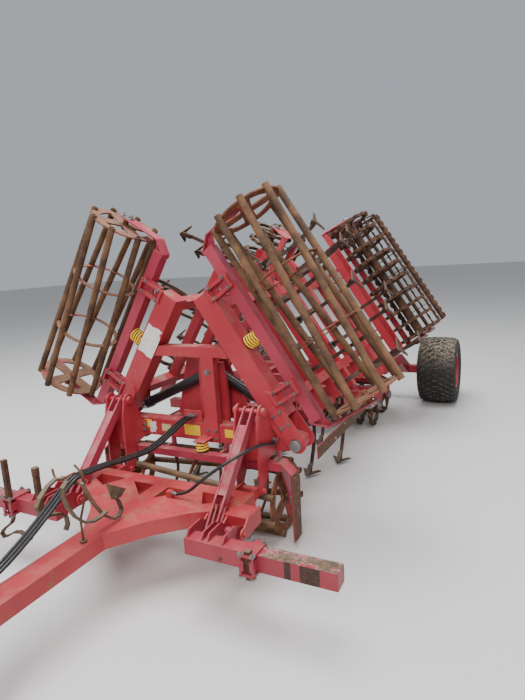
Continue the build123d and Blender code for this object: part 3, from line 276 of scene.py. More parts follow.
# Where a surface turns sharply: the rounded normal leans away from the flat one
def edges(tree, radius):
    bevel = tree.nodes.new("ShaderNodeBevel")
    bevel.samples = 4
    bevel.inputs["Radius"].default_value = radius
    geometry = tree.nodes.new("ShaderNodeNewGeometry")
    dot = tree.nodes.new("ShaderNodeVectorMath")
    dot.operation = "DOT_PRODUCT"
    tree.links.new(bevel.outputs["Normal"], dot.inputs[0])
    tree.links.new(geometry.outputs["Normal"], dot.inputs[1])
    return calc(tree, "SUBTRACT", 1.0, dot.outputs["Value"]), bevel.outputs["Normal"], geometry


def facing_up(tree, geometry, low, high):
    return ramp(tree, split(tree, geometry.outputs["Normal"])["Z"], low, high)


def bump(tree, bsdf, height, strength, distance, normal=None):
    n = node(tree, "ShaderNodeBump", Strength=strength, Distance=distance)
    tree.links.new(height, n.inputs["Height"])
    if normal is not None:
        tree.links.new(normal, n.inputs["Normal"])
    tree.links.new(n.outputs["Normal"], bsdf.inputs["Normal"])


RUST = (0.16, 0.062, 0.03)
DUST = (0.36, 0.28, 0.2)
# Axes of a normal, by number
ACROSS = 0
ALONG = 1
UP = 2


# Paint bleached in clouds and paler on upper faces, with dark streaks run down it
def faded_coat(tree, coords, up, base, faded, rust):
    fade = ramp(tree, noise(tree, coords, 2.2, 4.0), 0.35, 0.68)
    paler = calc(tree, "ADD", product(tree, fade, 0.6), product(tree, up, 0.4))
    colour = blend_colour(tree, paler, base, faded)
    streak = ramp(tree, noise(tree, coords, 16.0, 6.0, (1, 1, 0.09)), 0.54, 0.78, 0.0, 0.45)
    return blend_colour(tree, streak, colour, tuple(c * 0.45 + r * 0.3 for c, r in zip(base, rust)))


# How far the paint is gone: chipped patches, and rubbed edges by the share given
def chipped(tree, coords, grain, sharp, chips, edge):
    patches = ramp(tree, noise(tree, coords, 7.0, 7.0, rough=0.7), chips, chips + 0.06)
    worn = product(tree, ramp(tree, sharp, 0.02, 0.16), ramp(tree, grain, 0.44, 0.62))
    worn = product(tree, worn, edge)
    return calc(tree, "MAXIMUM", product(tree, patches, ramp(tree, grain, 0.42, 0.56)), worn)


# Faces turned along an axis that have lost their paint but for islands, from start metres off the midplane
# on: gives the islands' pale rims and the open steel
def bare_faces(tree, coords, facing, off, axis, keep, start):
    if axis != UP:
        facing = calc(tree, "ABSOLUTE", facing, 0.0)
    facing = ramp(tree, facing, 0.8, 0.9)
    if start:
        off = calc(tree, "ABSOLUTE", off, 0.0, False)
        facing = product(tree, facing, ramp(tree, off, start - 0.02, start + 0.02))
    islands = noise(tree, coords, 9.0, 9.0, rough=0.72)
    rim = product(tree, facing, ramp(tree, islands, keep - 0.035, keep - 0.005))
    return rim, product(tree, facing, ramp(tree, islands, keep, keep + 0.015))


# Weathered paint: fading, chips down to rust, streaks and dust on top. Faces along the bare axis have lost
# theirs. Marks are stretches across the front, from and to, that are given the open steel's colour.
def paint(name, base, faded, chips=0.62, edge=0.5, rust=RUST, dust=0.25, rough=0.45, bare_axis=None, keep=0.5,
          steel=(0.11, 0.065, 0.04), bare_from=0.0, marks=()):
    mat, tree, bsdf = shader(name, rough)
    coords = object_coords(tree)
    sharp, rounded, geometry = edges(tree, 0.004)
    up = facing_up(tree, geometry, 0.25, 0.95)
    colour = faded_coat(tree, coords, up, base, faded, rust)
    grain = noise(tree, coords, 42.0, 9.0, rough=0.68)
    bare = chipped(tree, coords, grain, sharp, chips, edge)
    shade = blend_colour(tree, ramp(tree, grain, 0.4, 0.7), rust, tuple(min(1.0, c * 2.1) for c in rust))
    if bare_axis is not None:
        normal = split(tree, tree.nodes.new("ShaderNodeTexCoord").outputs["Normal"])
        place = split(tree, coords)
        rim, open_steel = bare_faces(tree, coords, normal[bare_axis], place[ACROSS], bare_axis, keep,
                                     bare_from)
        colour = blend_colour(tree, product(tree, rim, 0.7), colour, tuple(c * 0.6 + 0.25 for c in faded))
        metal = blend_colour(tree, ramp(tree, grain, 0.38, 0.66), steel, tuple(c * 2.1 for c in steel))
        shade = blend_colour(tree, open_steel, shade, metal)
        bare = calc(tree, "MAXIMUM", bare, open_steel)
        front = ramp(tree, normal[ALONG], -0.8, -0.9)
        for start, end in marks:
            mark = product(tree, ramp(tree, place[ACROSS], start, start + 0.004),
                           ramp(tree, place[ACROSS], end + 0.004, end))
            bare = calc(tree, "MAXIMUM", bare, product(tree, mark, front))
    colour = blend_colour(tree, bare, colour, shade)
    dirt = product(tree, up, ramp(tree, noise(tree, coords, 11.0, 6.0), 0.42, 0.66))
    dirt = product(tree, dirt, dust * 2)
    colour = blend_colour(tree, dirt, colour, DUST)
    tree.links.new(colour, bsdf.inputs["Base Color"])
    dull = ramp(tree, calc(tree, "MAXIMUM", bare, dirt), 0.0, 1.0, rough, 0.9)
    tree.links.new(dull, bsdf.inputs["Roughness"])
    bump(tree, bsdf, calc(tree, "SUBTRACT", product(tree, grain, 0.4), bare), 0.35, 0.0015, rounded)
    return mat


# Bare steel gone rusty, with darker and lighter patches and a pitted skin; left is paint that stays in spots
def rusty(name, dark, light, scale=9.0, rough=0.82, metal=0.25, left=None, keep=0.7):
    mat, tree, bsdf = shader(name, rough, metal)
    coords = object_coords(tree)
    sharp, rounded, geometry = edges(tree, 0.003)
    patches = ramp(tree, noise(tree, coords, scale, 8.0, rough=0.65), 0.3, 0.7)
    fine = noise(tree, coords, 90.0, 6.0, rough=0.7)
    colour = blend_colour(tree, patches, dark, light)
    colour = blend_colour(tree, ramp(tree, fine, 0.5, 0.75, 0.0, 0.6), colour, tuple(c * 0.4 for c in dark))
    colour = blend_colour(tree, product(tree, ramp(tree, sharp, 0.03, 0.2), 0.5), colour,
                          tuple(min(1.0, c * 1.7 + 0.02) for c in light))
    if left is not None:
        spots = ramp(tree, noise(tree, coords, 6.0, 8.0, rough=0.7), keep - 0.04, keep + 0.02)
        colour = blend_colour(tree, spots, colour, left)
    dirt = product(tree, facing_up(tree, geometry, 0.3, 1.0), 0.3)
    colour = blend_colour(tree, dirt, colour, DUST)
    tree.links.new(colour, bsdf.inputs["Base Color"])
    bump(tree, bsdf, fine, 0.5, 0.0012, rounded)
    return mat


# One colour with darker patches and dust on its upper faces
def plain(name, colour, rough, metal=0.0, spread=0.35, scale=14.0, dust=0.3):
    mat, tree, bsdf = shader(name, rough, metal)
    coords = object_coords(tree)
    geometry = tree.nodes.new("ShaderNodeNewGeometry")
    patches = ramp(tree, noise(tree, coords, scale, 7.0, rough=0.62), 0.35, 0.7)
    out = blend_colour(tree, patches, tuple(c * (1 - spread) for c in colour), colour)
    dirt = product(tree, facing_up(tree, geometry, 0.0, 1.0), dust)
    dirt = product(tree, dirt, ramp(tree, noise(tree, coords, 30.0, 6.0), 0.35, 0.6))
    out = blend_colour(tree, dirt, out, DUST)
    tree.links.new(out, bsdf.inputs["Base Color"])
    dull = ramp(tree, patches, 0.0, 1.0, min(1.0, rough + 0.15), rough)
    tree.links.new(dull, bsdf.inputs["Roughness"])
    bump(tree, bsdf, noise(tree, coords, 120.0, 4.0), 0.15, 0.0006)
    return mat


RED = paint("red paint", (0.34, 0.017, 0.028), (0.47, 0.05, 0.068))
PINK = paint("pink sun-bleached paint", (0.31, 0.02, 0.044), (0.42, 0.058, 0.092), chips=0.66)
SCUFFED = paint("scuffed red paint", (0.33, 0.02, 0.027), (0.44, 0.045, 0.052), chips=0.56, edge=0.9,
                dust=0.08)
WORN_TOP = paint("paint worn off on top", (0.25, 0.016, 0.03), (0.34, 0.035, 0.052), chips=0.6, edge=0.9,
                 rust=(0.04, 0.019, 0.014), bare_axis=UP, keep=0.47, dust=0.06, steel=(0.085, 0.055, 0.034),
                 bare_from=1.02, marks=((1.17, 1.208), (1.26, 1.371)))
WORN_SIDE = paint("paint scoured off the sides", (0.4, 0.03, 0.055), (0.52, 0.075, 0.105), chips=0.6,
                  edge=0.8, bare_axis=ACROSS, keep=0.36, steel=(0.075, 0.036, 0.02))
TUBE_RUST = rusty("rusty tube", (0.06, 0.032, 0.019), (0.21, 0.105, 0.048), 7.0)
RING_RUST = rusty("rusty painted ring", (0.1, 0.03, 0.018), (0.27, 0.1, 0.045), 10.0,
                  left=(0.34, 0.035, 0.035), keep=0.6)
ROLLER_RUST = rusty("dark rusty roller", (0.035, 0.02, 0.014), (0.135, 0.06, 0.032), 10.0, 0.85, 0.3)
TINE_STEEL = rusty("dark tine steel", (0.028, 0.022, 0.02), (0.12, 0.062, 0.038), 12.0, 0.7, 0.4)
OLIVE_STEEL = rusty("old olive paint on steel", (0.045, 0.032, 0.02), (0.17, 0.115, 0.065), 9.0, 0.75, 0.2)
YELLOW = paint("yellow spring paint", (0.86, 0.5, 0.012), (0.92, 0.6, 0.05), chips=0.68, edge=0.15, dust=0.1)
BLACK = paint("black paint", (0.008, 0.008, 0.01), (0.02, 0.02, 0.022), chips=0.7, edge=0.3, dust=0.1,
              rough=0.3)
CHROME = plain("piston rod", (0.55, 0.55, 0.56), 0.18, 1.0, 0.1, dust=0.1)
PIN_STEEL = plain("worn steel pin", (0.3, 0.31, 0.31), 0.38, 0.7, 0.4, 30.0, 0.15)
ZINC = plain("zinc fastener", (0.33, 0.33, 0.32), 0.45, 0.85, 0.5, 60.0, 0.2)
HOSE = plain("hose rubber", (0.009, 0.009, 0.011), 0.3, 0.0, 0.3, 20.0, 0.05)
TYRE = plain("tyre rubber", (0.024, 0.023, 0.022), 0.75, 0.0, 0.35, 9.0, 0.7)
LABEL = plain("yellow blank label", (0.8, 0.55, 0.03), 0.4, 0.0, 0.12, 20.0, 0.1)
PALE_LABEL = plain("faded blank label", (0.62, 0.5, 0.27), 0.55, 0.0, 0.2, 20.0, 0.1)
WHITE_LABEL = plain("white blank label", (0.74, 0.73, 0.7), 0.5, 0.0, 0.18, 30.0, 0.1)

# The material of the nodes whose names start so; all others are red
LOOKS = (
    ("roller_frame_", PINK), ("side_plate_", WORN_SIDE), ("toolbars", WORN_TOP), ("drawbar", SCUFFED),
    ("top_link_", PINK), ("tube_roller_", TUBE_RUST), ("ring_roller_", ROLLER_RUST),
    ("slat_roller_", ROLLER_RUST), ("tines_", TINE_STEEL), ("track_tines", ROLLER_RUST),
    ("hung_tines", OLIVE_STEEL), ("fold_barrel_", BLACK), ("axle_barrel", BLACK), ("fold_rod_", CHROME),
    ("axle_rod", CHROME), ("tyre_", TYRE), ("hose_holder", TUBE_RUST), ("hose_", HOSE), ("couplers", ZINC),
    ("spring_", YELLOW), ("hitch_eye", ROLLER_RUST),
)


def look_of(name):
    for start, mat in LOOKS:
        if name.startswith(start):
            return mat
    return RED


for name, obj in NODES.items():
    obj.data.materials.clear()
    obj.data.materials.append(look_of(name))


# Shapes

# Two directions square to an axis and to each other
def square_to(axis):
    a = axis.orthogonal().normalized()
    return a, axis.cross(a)


# Faces of a row of rings of points, with both ends closed
def ring_faces(rings, sides):
    last = (rings - 1) * sides
    faces = []
    for k in range(0, last, sides):
        for i in range(sides):
            j = (i + 1) % sides
            faces.append((k + i, k + j, k + sides + j, k + sides + i))
    return faces + [tuple(range(sides))[::-1], tuple(range(last, last + sides))]


class Shape:
    def __init__(self):
        self.verts = []
        self.faces = []
        self.slots = []

    def add(self, verts, faces, slot=0):
        start = len(self.verts)
        self.verts += [Vector(v) for v in verts]
        self.faces += [tuple(start + i for i in f) for f in faces]
        self.slots += [slot] * len(faces)

    # Rings round an axis, each a middle point and a radius
    def rings(self, axis, row, sides, slot, turn=0.0):
        a, b = square_to(axis)
        points = []
        for middle, r in row:
            for i in range(sides):
                t = 2 * pi * i / sides + turn
                points.append(middle + (a * cos(t) + b * sin(t)) * r)
        self.add(points, ring_faces(len(row), sides), slot)

    # A prism between two points; sides of it round the axis, radii at both ends
    def prism(self, p, q, r0, r1=None, sides=6, slot=0, turn=0.0):
        self.rings((q - p).normalized(), ((p, r0), (q, r0 if r1 is None else r1)), sides, slot, turn)

    # A pipe with open ends
    def pipe(self, p, q, r, bore, depth, sides=18, slot=0):
        axis = (q - p).normalized()
        row = ((p + axis * depth, bore), (p, bore), (p, r), (q, r), (q, bore), (q - axis * depth, bore))
        self.rings(axis, row, sides, slot)

    # A box from its middle, three half edges given as vectors
    def block(self, middle, a, b, c, slot=0):
        corners = [middle + a * i + b * j + c * k for i in (-1, 1) for j in (-1, 1) for k in (-1, 1)]
        faces = [(0, 1, 3, 2), (4, 6, 7, 5), (0, 4, 5, 1), (2, 3, 7, 6), (0, 2, 6, 4), (1, 5, 7, 3)]
        self.add(corners, faces, slot)

    # A plate from flat polygons, given its two faces by placing functions; edges with one polygon get a wall
    def slab(self, polygons, near, far, slot=0):
        pairs = [pair for points in polygons for pair in zip(points, points[1:] + points[:1])]
        for points in polygons:
            n = len(points)
            self.add([near(*p) for p in points], [tuple(range(n))], slot)
            self.add([far(*p) for p in points], [tuple(range(n))[::-1]], slot)
        for a, b in pairs:
            if (b, a) not in pairs:
                self.add([near(*a), far(*a), far(*b), near(*b)], [(0, 1, 2, 3)], slot)

    # A thin sheet: its outline on both faces, without a wall
    def sheet(self, outline, near, far, slot=0):
        n = len(outline)
        points = [place(*p) for place in (near, far) for p in outline]
        self.add(points, [tuple(range(n)), tuple(range(n, 2 * n))[::-1]], slot)

    # Hexagon head with its washer and screw tip on a surface at p, facing along d
    def bolt(self, p, d, r=0.012, height=0.008, slot=0):
        d = d.normalized()
        washer = 0.003
        tip = 0.009
        self.prism(p - d * 0.001, p + d * washer, r * 1.35, sides=14, slot=slot)
        self.prism(p + d * washer, p + d * (washer + height), r, sides=6, slot=slot)
        self.prism(p + d * (washer + height), p + d * (tip + height), r * 0.5, r * 0.45, sides=8, slot=slot)

    # Flange bearing at p, facing along d, with four bolts
    def bearing(self, p, d, r=0.048, height=0.022):
        d = d.normalized()
        a, b = square_to(d)
        self.prism(p, p + d * height * 0.45, r * 1.2, r * 1.1, sides=8, turn=pi / 8)
        self.prism(p + d * height * 0.45, p + d * height, r * 0.72, r * 0.62, sides=20)
        for i in range(4):
            t = pi / 4 + pi / 2 * i
            self.bolt(p + (a * cos(t) + b * sin(t)) * r * 0.92 + d * height * 0.4, d, 0.008, 0.006, 1)

    def build(self, name, mats, body=None, smooth=30):
        mesh = bpy.data.meshes.new(name)
        mesh.from_pydata([tuple(v) for v in self.verts], [], self.faces)
        for m in mats:
            mesh.materials.append(m)
        mesh.polygons.foreach_set("material_index", self.slots)
        mesh.update()
        mesh.shade_smooth()
        mesh.set_sharp_from_angle(angle=radians(smooth))
        obj = bpy.data.objects.new(name, mesh)
        bpy.context.scene.collection.objects.link(obj)
        if body:
            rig.ride(obj, body)
        return obj


# A coil's points per turn and round its wire, its core and end cups as shares of its radius, and the cups'
# thickness in metres
COIL_STEPS = 22
WIRE_SIDES = 10
CORE_SHARE = 0.42
CUP_SHARE = 0.8
CUP_T = 0.006
COIL_SMOOTH = 50


# Coil spring of round wire between two points, with a core and flat end cups
def coil(name, p, q, r, wire, turns, body, replaced):
    axis = (q - p).normalized()
    a, b = square_to(axis)
    length = (q - p).length - wire
    steps = int(turns * COIL_STEPS)
    sides = WIRE_SIDES
    shape = Shape()
    ring = []
    for i in range(steps + 1):
        t = 2 * pi * turns * i / steps
        out = a * cos(t) + b * sin(t)
        middle = p + axis * (wire / 2 + length * (i / steps)) + out * (r - wire / 2)
        for j in range(sides):
            s = 2 * pi * j / sides
            ring.append(middle + (out * cos(s) + axis * sin(s)) * wire / 2)
    faces = []
    for i in range(steps):
        for j in range(sides):
            k = (j + 1) % sides
            faces.append((i * sides + j, (i + 1) * sides + j, (i + 1) * sides + k, i * sides + k))
    faces.append(tuple(range(sides)))
    faces.append(tuple(range(steps * sides, (steps + 1) * sides))[::-1])
    shape.add(ring, faces)
    shape.prism(p, q, r * CORE_SHARE, sides=16, slot=1)
    for end, inward in ((p, axis), (q, -axis)):
        shape.prism(end, end + inward * CUP_T, r * CUP_SHARE, sides=24, slot=1)
    obj = shape.build(name, (YELLOW, TINE_STEEL), body, COIL_SMOOTH)
    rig.replaces(obj, replaced)


# Springs between the front roller beams and what is above them; a coil's radius, wire and turns
WING_SPRING_U = 800
WING_SPRING_Y = 240
WING_SPRING_W = (-172, -55)
WING_COIL = (0.056, 0.0135, 4.6)
CENTRE_SPRING_X = 105
CENTRE_SPRING_Y = 95
CENTRE_SPRING_Z = (620, 705)
CENTRE_COIL = (0.05, 0.015, 3.2)
for g, side in SIDES:
    foot, head = [on_wing(WING_SPRING_U, WING_SPRING_Y, w, g) for w in WING_SPRING_W]
    coil("coil_spring_" + side, foot, head, *WING_COIL, "wing_" + side, "spring_" + side)
foot, head = [at(CENTRE_SPRING_X, CENTRE_SPRING_Y, z) for z in CENTRE_SPRING_Z]
coil("coil_spring_centre", foot, head, *CENTRE_COIL, "machine", "spring_centre")

# Tube rollers: twisted tubes with open ends, end discs with four windows, rings between them and shaft stubs
TUBE_AXIS_Y = 236
TUBE_AXIS_W = -612
TUBE_AXIS_Z = 291
TUBES = 8
TUBE_CIRCLE = 265
TUBE_R = 25
TUBE_BORE = 19
TUBE_DEPTH = 120
# Degrees that a tube turns round the roller from end to end
TUBE_TWIST = 24
DISC_IN = 18
DISC_T = 12
# The disc's four windows: inner radius of its rim, radius of their inner corner, and in degrees their half
# width, half pitch and the steps of the rim
WINDOW_R = 196
WEB_R = 60
WINDOW_HALF = 30
WINDOW_PITCH = 45
RIM_STEP = 15
SHAFT_R = 22
SHAFT_OUT = 42
SHAFT_IN = 60
SHAFT_SIDES = 20
RING_IN = 40
RING_OUT = 4
RING_HALF = 4
RING_STEPS = 48
# Ends of the rollers, and their rings as shares of the length
WING_CAGE_U = (30, 1570)
WING_RINGS = (0.34, 0.66)
CENTRE_CAGE_X = (-745, 745)
CENTRE_RINGS = (0.2, 0.5, 0.8)


def round_point(r, degrees):
    return (round(r * cos(radians(degrees)), 3), round(r * sin(radians(degrees)), 3))


# Flat pieces of a ring between two radii, from turn to turn in degrees
def ring_polygons(r0, r1, turns):
    return [[round_point(r0, a), round_point(r1, a), round_point(r1, b), round_point(r0, b)]
            for a, b in zip(turns, turns[1:])]


def window_disc(twist):
    polygons = []
    for quarter in range(4):
        a = WINDOW_PITCH * (2 * quarter + 1) + twist
        for s in (-1, 1):
            web = [round_point(0, 0), round_point(WEB_R, a), round_point(WINDOW_R, a + s * WINDOW_HALF),
                   round_point(WINDOW_R, a + s * WINDOW_PITCH)]
            polygons.append(web[::s])
        turns = [a + k for k in range(-WINDOW_PITCH, WINDOW_PITCH + 1, RIM_STEP)]
        polygons += ring_polygons(WINDOW_R, TUBE_CIRCLE, turns)
    return polygons


# A tube roller from x0 to x1; place gives the point x along its shaft and two ways off it
def cage(name, place, x0, x1, rings, body, replaced):
    shape = Shape()

    def plane(x):
        return lambda c, d: place(x, c, d)

    for i in range(TUBES):
        a = 360 / TUBES * i
        start = place(x0, *round_point(TUBE_CIRCLE, a))
        end = place(x1, *round_point(TUBE_CIRCLE, a + TUBE_TWIST))
        shape.pipe(start, end, TUBE_R / 1000, TUBE_BORE / 1000, TUBE_DEPTH / 1000)
    for x, s, twist in ((x0, 1, 0), (x1, -1, TUBE_TWIST)):
        inner = x + s * DISC_IN
        shape.slab(window_disc(twist), plane(inner), plane(inner + s * DISC_T), 1)
        shape.prism(place(x - s * SHAFT_OUT, 0, 0), place(x + s * SHAFT_IN, 0, 0), SHAFT_R / 1000,
                    sides=SHAFT_SIDES, slot=1)
    turns = [360 * i / RING_STEPS for i in range(RING_STEPS)] + [0]
    for share in rings:
        x = x0 + (x1 - x0) * share
        shape.slab(ring_polygons(TUBE_CIRCLE - RING_IN, TUBE_CIRCLE - RING_OUT, turns), plane(x - RING_HALF),
                   plane(x + RING_HALF), 1)
    obj = shape.build(name, (TUBE_RUST, RING_RUST), body)
    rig.replaces(obj, replaced)


for g, side in SIDES:
    cage("tube_cage_" + side, lambda u, c, d: on_wing(u, TUBE_AXIS_Y + c, TUBE_AXIS_W + d, g), *WING_CAGE_U,
         WING_RINGS, "tube_roller_" + side + "_body", "tube_roller_" + side)
cage("tube_cage_centre", lambda x, c, d: at(x, TUBE_AXIS_Y + c, TUBE_AXIS_Z + d), *CENTRE_CAGE_X,
     CENTRE_RINGS, "tube_roller_centre_body", "tube_roller_centre")

# Tyres: carcass with its rounded shoulders, tread blocks and shoulder lugs
TYRE_Y = 4030
TYRE_R = 437
WHEEL_X = 1290
TYRE_SIDES = 72
# Half section of the carcass: radius and place across
CARCASS = (
    (216, 200), (236, 214), (275, 230), (325, 237), (372, 234), (398, 222), (412, 200), (419, 150), (424, 70),
    (425, 0),
)
# The carcass points that the tread stands on, from the shoulder to the middle. Past the shoulder a lug's foot
# stands on one radius and drops with its place across.
CROWN = CARCASS[6:]
SHOULDER = 200
SHOULDER_R = 404
SHOULDER_DROP = 0.45
BLOCKS = 34
# Tread block columns: middle across, half width, share of the pitch, slant, offset
TREAD = (
    (0, 34, 0.62, 0.0, 0.0), (78, 30, 0.6, 0.35, 0.5), (145, 26, 0.6, 0.35, 0.0), (203, 24, 0.56, 0.1, 0.5),
)
# Foot and top of a block: height over the carcass, share of the width
BLOCK_ENDS = ((-4, 1.0), (12, 0.84))
BLOCK_FACES = [(3, 2, 1, 0), (4, 5, 6, 7), (0, 1, 5, 4), (1, 2, 6, 5), (2, 3, 7, 6), (3, 0, 4, 7)]
# Raised rib and bead of a side wall: radius, place across, half width; their foot and top off that place
RIBS = ((330, 238.5, 4), (246, 219, 5))
RIB_FOOT = -3
RIB_TOP = 1.2
TYRE_SMOOTH = 32


def carcass(shape, spot):
    profile = list(CARCASS) + [(r, -a) for r, a in CARCASS[-2::-1]]
    n = len(profile)
    ring = [spot(r, a, 2 * pi * i / TYRE_SIDES) for i in range(TYRE_SIDES) for r, a in profile]
    faces = []
    for i in range(TYRE_SIDES):
        k = (i + 1) % TYRE_SIDES
        faces += [(i * n + j, i * n + j + 1, k * n + j + 1, k * n + j) for j in range(n - 1)]
    shape.add(ring, faces)


# Radius of the carcass at a place across it
def crown(a):
    for (r0, a0), (r1, a1) in zip(CROWN, CROWN[1:]):
        if a1 <= abs(a) <= a0:
            return r0 + (r1 - r0) * (a0 - abs(a)) / (a0 - a1)
    return SHOULDER_R


def tread(shape, spot):
    pitch = 2 * pi / BLOCKS
    for across, half, share, slant, offset in TREAD:
        for e in ((1, -1) if across else (1,)):
            for i in range(BLOCKS):
                corners = []
                for height, grow in BLOCK_ENDS:
                    for da, dt in ((-1, -1), (1, -1), (1, 1), (-1, 1)):
                        a = e * (across + da * half * grow)
                        t = pitch * (i + offset + dt * share / 2 * grow + da * slant * 0.5)
                        top = crown(a) + height
                        if abs(a) > SHOULDER:
                            top -= (abs(a) - SHOULDER) * SHOULDER_DROP
                        corners.append(spot(min(top, TYRE_R), a, t))
                shape.add(corners, [f[::e] for f in BLOCK_FACES])


# A low ridge round the side wall e
def rib(shape, spot, r, a, half, e):
    ring = []
    for i in range(TYRE_SIDES):
        t = 2 * pi * i / TYRE_SIDES
        for dr, da in ((-half, RIB_FOOT), (0, RIB_TOP), (half, RIB_FOOT)):
            ring.append(spot(r + dr, e * (a + da), t))
    faces = []
    for i in range(TYRE_SIDES):
        k = (i + 1) % TYRE_SIDES
        for j in range(2):
            f = (i * 3 + j, i * 3 + j + 1, k * 3 + j + 1, k * 3 + j)
            faces.append(f[::-e])
    shape.add(ring, faces)


def tyre(g, side):
    shape = Shape()
    middle = at(g * WHEEL_X, TYRE_Y, TYRE_R)

    def spot(r, a, t):
        return middle + Vector((a, r * cos(t), r * sin(t))) / 1000

    carcass(shape, spot)
    tread(shape, spot)
    for r, a, half in RIBS:
        for e in (-1, 1):
            rib(shape, spot, r, a, half, e)
    obj = shape.build("treaded_tyre_" + side, (TYRE,), "wheel_" + side, TYRE_SMOOTH)
    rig.replaces(obj, "tyre_" + side)


# Wheel nuts, hub cap and valve; faces in millimetres off the wheel's middle, the rest in metres
RIM_FACE = 28
HUB_FACE = 60
NUTS = 8
NUT_CIRCLE = 0.11
NUT_R = 0.013
NUT_T = 0.012
HUB_R = (0.052, 0.044)
HUB_T = 0.02
VALVE_AT = (Y * 0.8 + Z * 0.6) * 0.17
VALVE_R = 0.005
VALVE_LENGTH = 0.03


def wheel_nuts(g, side):
    shape = Shape()
    face = at(g * (WHEEL_X + RIM_FACE), TYRE_Y, TYRE_R)
    for i in range(NUTS):
        t = 2 * pi * i / NUTS
        shape.bolt(face + (Y * cos(t) + Z * sin(t)) * NUT_CIRCLE, X * g, NUT_R, NUT_T)
    hub = at(g * (WHEEL_X + HUB_FACE), TYRE_Y, TYRE_R)
    shape.prism(hub, hub + X * g * HUB_T, *HUB_R, sides=24, slot=1)
    valve = face + VALVE_AT
    shape.prism(valve, valve + X * g * VALVE_LENGTH, VALVE_R, sides=8)
    shape.build("wheel_nuts_" + side, (ZINC, RED), "wheel_" + side)


for g, side in SIDES:
    tyre(g, side)
for g, side in SIDES:
    wheel_nuts(g, side)

# Hoses: three from the bulkhead over the bent holder and down to the couplers parked on the tongue, with the
# share of their pitch last, and one from the cross beam over the left top link to the block on the drawbar
HOSE_D = 0.022
HOSE_PITCH = 26
BUNDLE = (
    (-30, 176, 870, 1), (-30, 60, 870, 1), (-30, -130, 822, 1), (-30, -350, 780, 1), (-30, -590, 812, 1),
    (-30, -800, 850, 1), (-30, -985, 868, 1), (-32, -1030, 866, 1), (-48, -1120, 800, 1),
    (-78, -1240, 700, 1), (-100, -1370, 615, 1), (-112, -1510, 548, 1), (-70, -1740, 540, 1.2),
    (0, -1900, 570, 1.4), (0, -2002, 570, 1.4),
)
CROSS = (
    (705, 166, 752), (705, 70, 752), (715, -60, 806), (712, -200, 834), (600, -385, 782), (440, -420, 662),
    (290, -420, 530), (190, -420, 530),
)
# Where the blend from the machine to the drawbar starts and ends
BUNDLE_BLEND = ((-30, -60, 840), (-30, -900, 860))
CROSS_BLEND = ((715, -60, 796), (290, -420, 530))


def spline(name, points, bevel):
    data = bpy.data.curves.new(name, "CURVE")
    data.dimensions = "3D"
    data.resolution_u = 10
    data.bevel_depth = bevel
    data.bevel_resolution = 3
    line = data.splines.new("NURBS")
    line.points.add(len(points) - 1)
    for place, point in zip(line.points, points):
        place.co = tuple(point) + (1,)
    line.order_u = 3
    line.use_endpoint_u = True
    return bpy.data.objects.new(name, data)


# The mesh of a spline: its centre line where the bevel is 0, else its tube
def spline_mesh(name, points, bevel):
    obj = spline(name, points, bevel)
    bpy.context.scene.collection.objects.link(obj)
    bpy.context.view_layer.update()
    mesh = bpy.data.meshes.new_from_object(obj)
    bpy.data.objects.remove(obj)
    return mesh


# A hose along its points, which blends from the machine to the drawbar between two places
def lay_hose(name, replaced, points, blend):
    rear, front = [at(*p) for p in blend]
    line = [v.co.copy() for v in spline_mesh("line", points, 0).vertices]
    length = sum((b - a).length for a, b in zip(line, line[1:]))
    mesh = spline_mesh(name + "_line", points, HOSE_D / 2)
    mesh.materials.clear()
    mesh.materials.append(HOSE)
    mesh.shade_smooth()
    hose = bpy.data.objects.new(name, mesh)
    bpy.context.scene.collection.objects.link(hose)
    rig.replaces(hose, replaced)
    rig.cord(hose, exit=line[0], length=length, diameter=HOSE_D, far_end="object", stiffness="stiff",
            lay="hanging", path=[tuple(p) for p in line])
    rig.blend(hose, "machine", "drawbar_body", rear, front)


for number, k in enumerate((-1, 0, 1), 1):
    lay_hose("bundle_hose_" + str(number), "hose_" + str(number),
             [at(x + k * HOSE_PITCH * spread, y, z) for x, y, z, spread in BUNDLE], BUNDLE_BLEND)
lay_hose("cross_hose", "hose_4", [at(*p) for p in CROSS], CROSS_BLEND)

# Ferrules in metres: radii on the hose and at its end, and lengths. The fittings and nuts lie behind them; a
# nut's two numbers are where it starts and ends, off the hose's end.
FERRULE_R = 0.0125
FERRULE_END_R = 0.0135
FERRULE_SIDES = 16
BUNDLE_FERRULE = 0.045
CROSS_FERRULE = 0.04
FITTING_R = 0.014
FITTING_T = 0.02
BULKHEAD_NUT_R = 0.016
BULKHEAD_NUT = (0.05, 0.062)
COUPLER_NUT_R = 0.0175
COUPLER_NUT = (0.02, 0.002)


# Ferrules and nuts at both ends of the hoses
def hose_ends():
    rear = Shape()
    front = Shape()
    x, y, z, spread = BUNDLE[0]
    end_x, end_y, end_z, end_spread = BUNDLE[-1]
    for k in (-1, 0, 1):
        p = at(x + k * HOSE_PITCH * spread, y, z)
        rear.prism(p - Y * BUNDLE_FERRULE, p, FERRULE_R, FERRULE_END_R, FERRULE_SIDES)
        rear.prism(p, p + Y * FITTING_T, FITTING_R)
        near, far = BULKHEAD_NUT
        rear.prism(p + Y * near, p + Y * far, BULKHEAD_NUT_R)
        q = at(end_x + k * HOSE_PITCH * end_spread, end_y, end_z)
        front.prism(q, q + Y * BUNDLE_FERRULE, FERRULE_END_R, FERRULE_R, FERRULE_SIDES)
        far, near = COUPLER_NUT
        front.prism(q - Y * far, q - Y * near, COUPLER_NUT_R)
    p = at(*CROSS[0])
    rear.prism(p - Y * CROSS_FERRULE, p, FERRULE_R, FERRULE_END_R, FERRULE_SIDES)
    q = at(*CROSS[-1])
    front.prism(q, q + X * CROSS_FERRULE, FERRULE_END_R, FERRULE_R, FERRULE_SIDES)
    rear.build("hose_ends_rear", (ZINC,), "machine")
    front.build("hose_ends_front", (ZINC,), "drawbar_body")


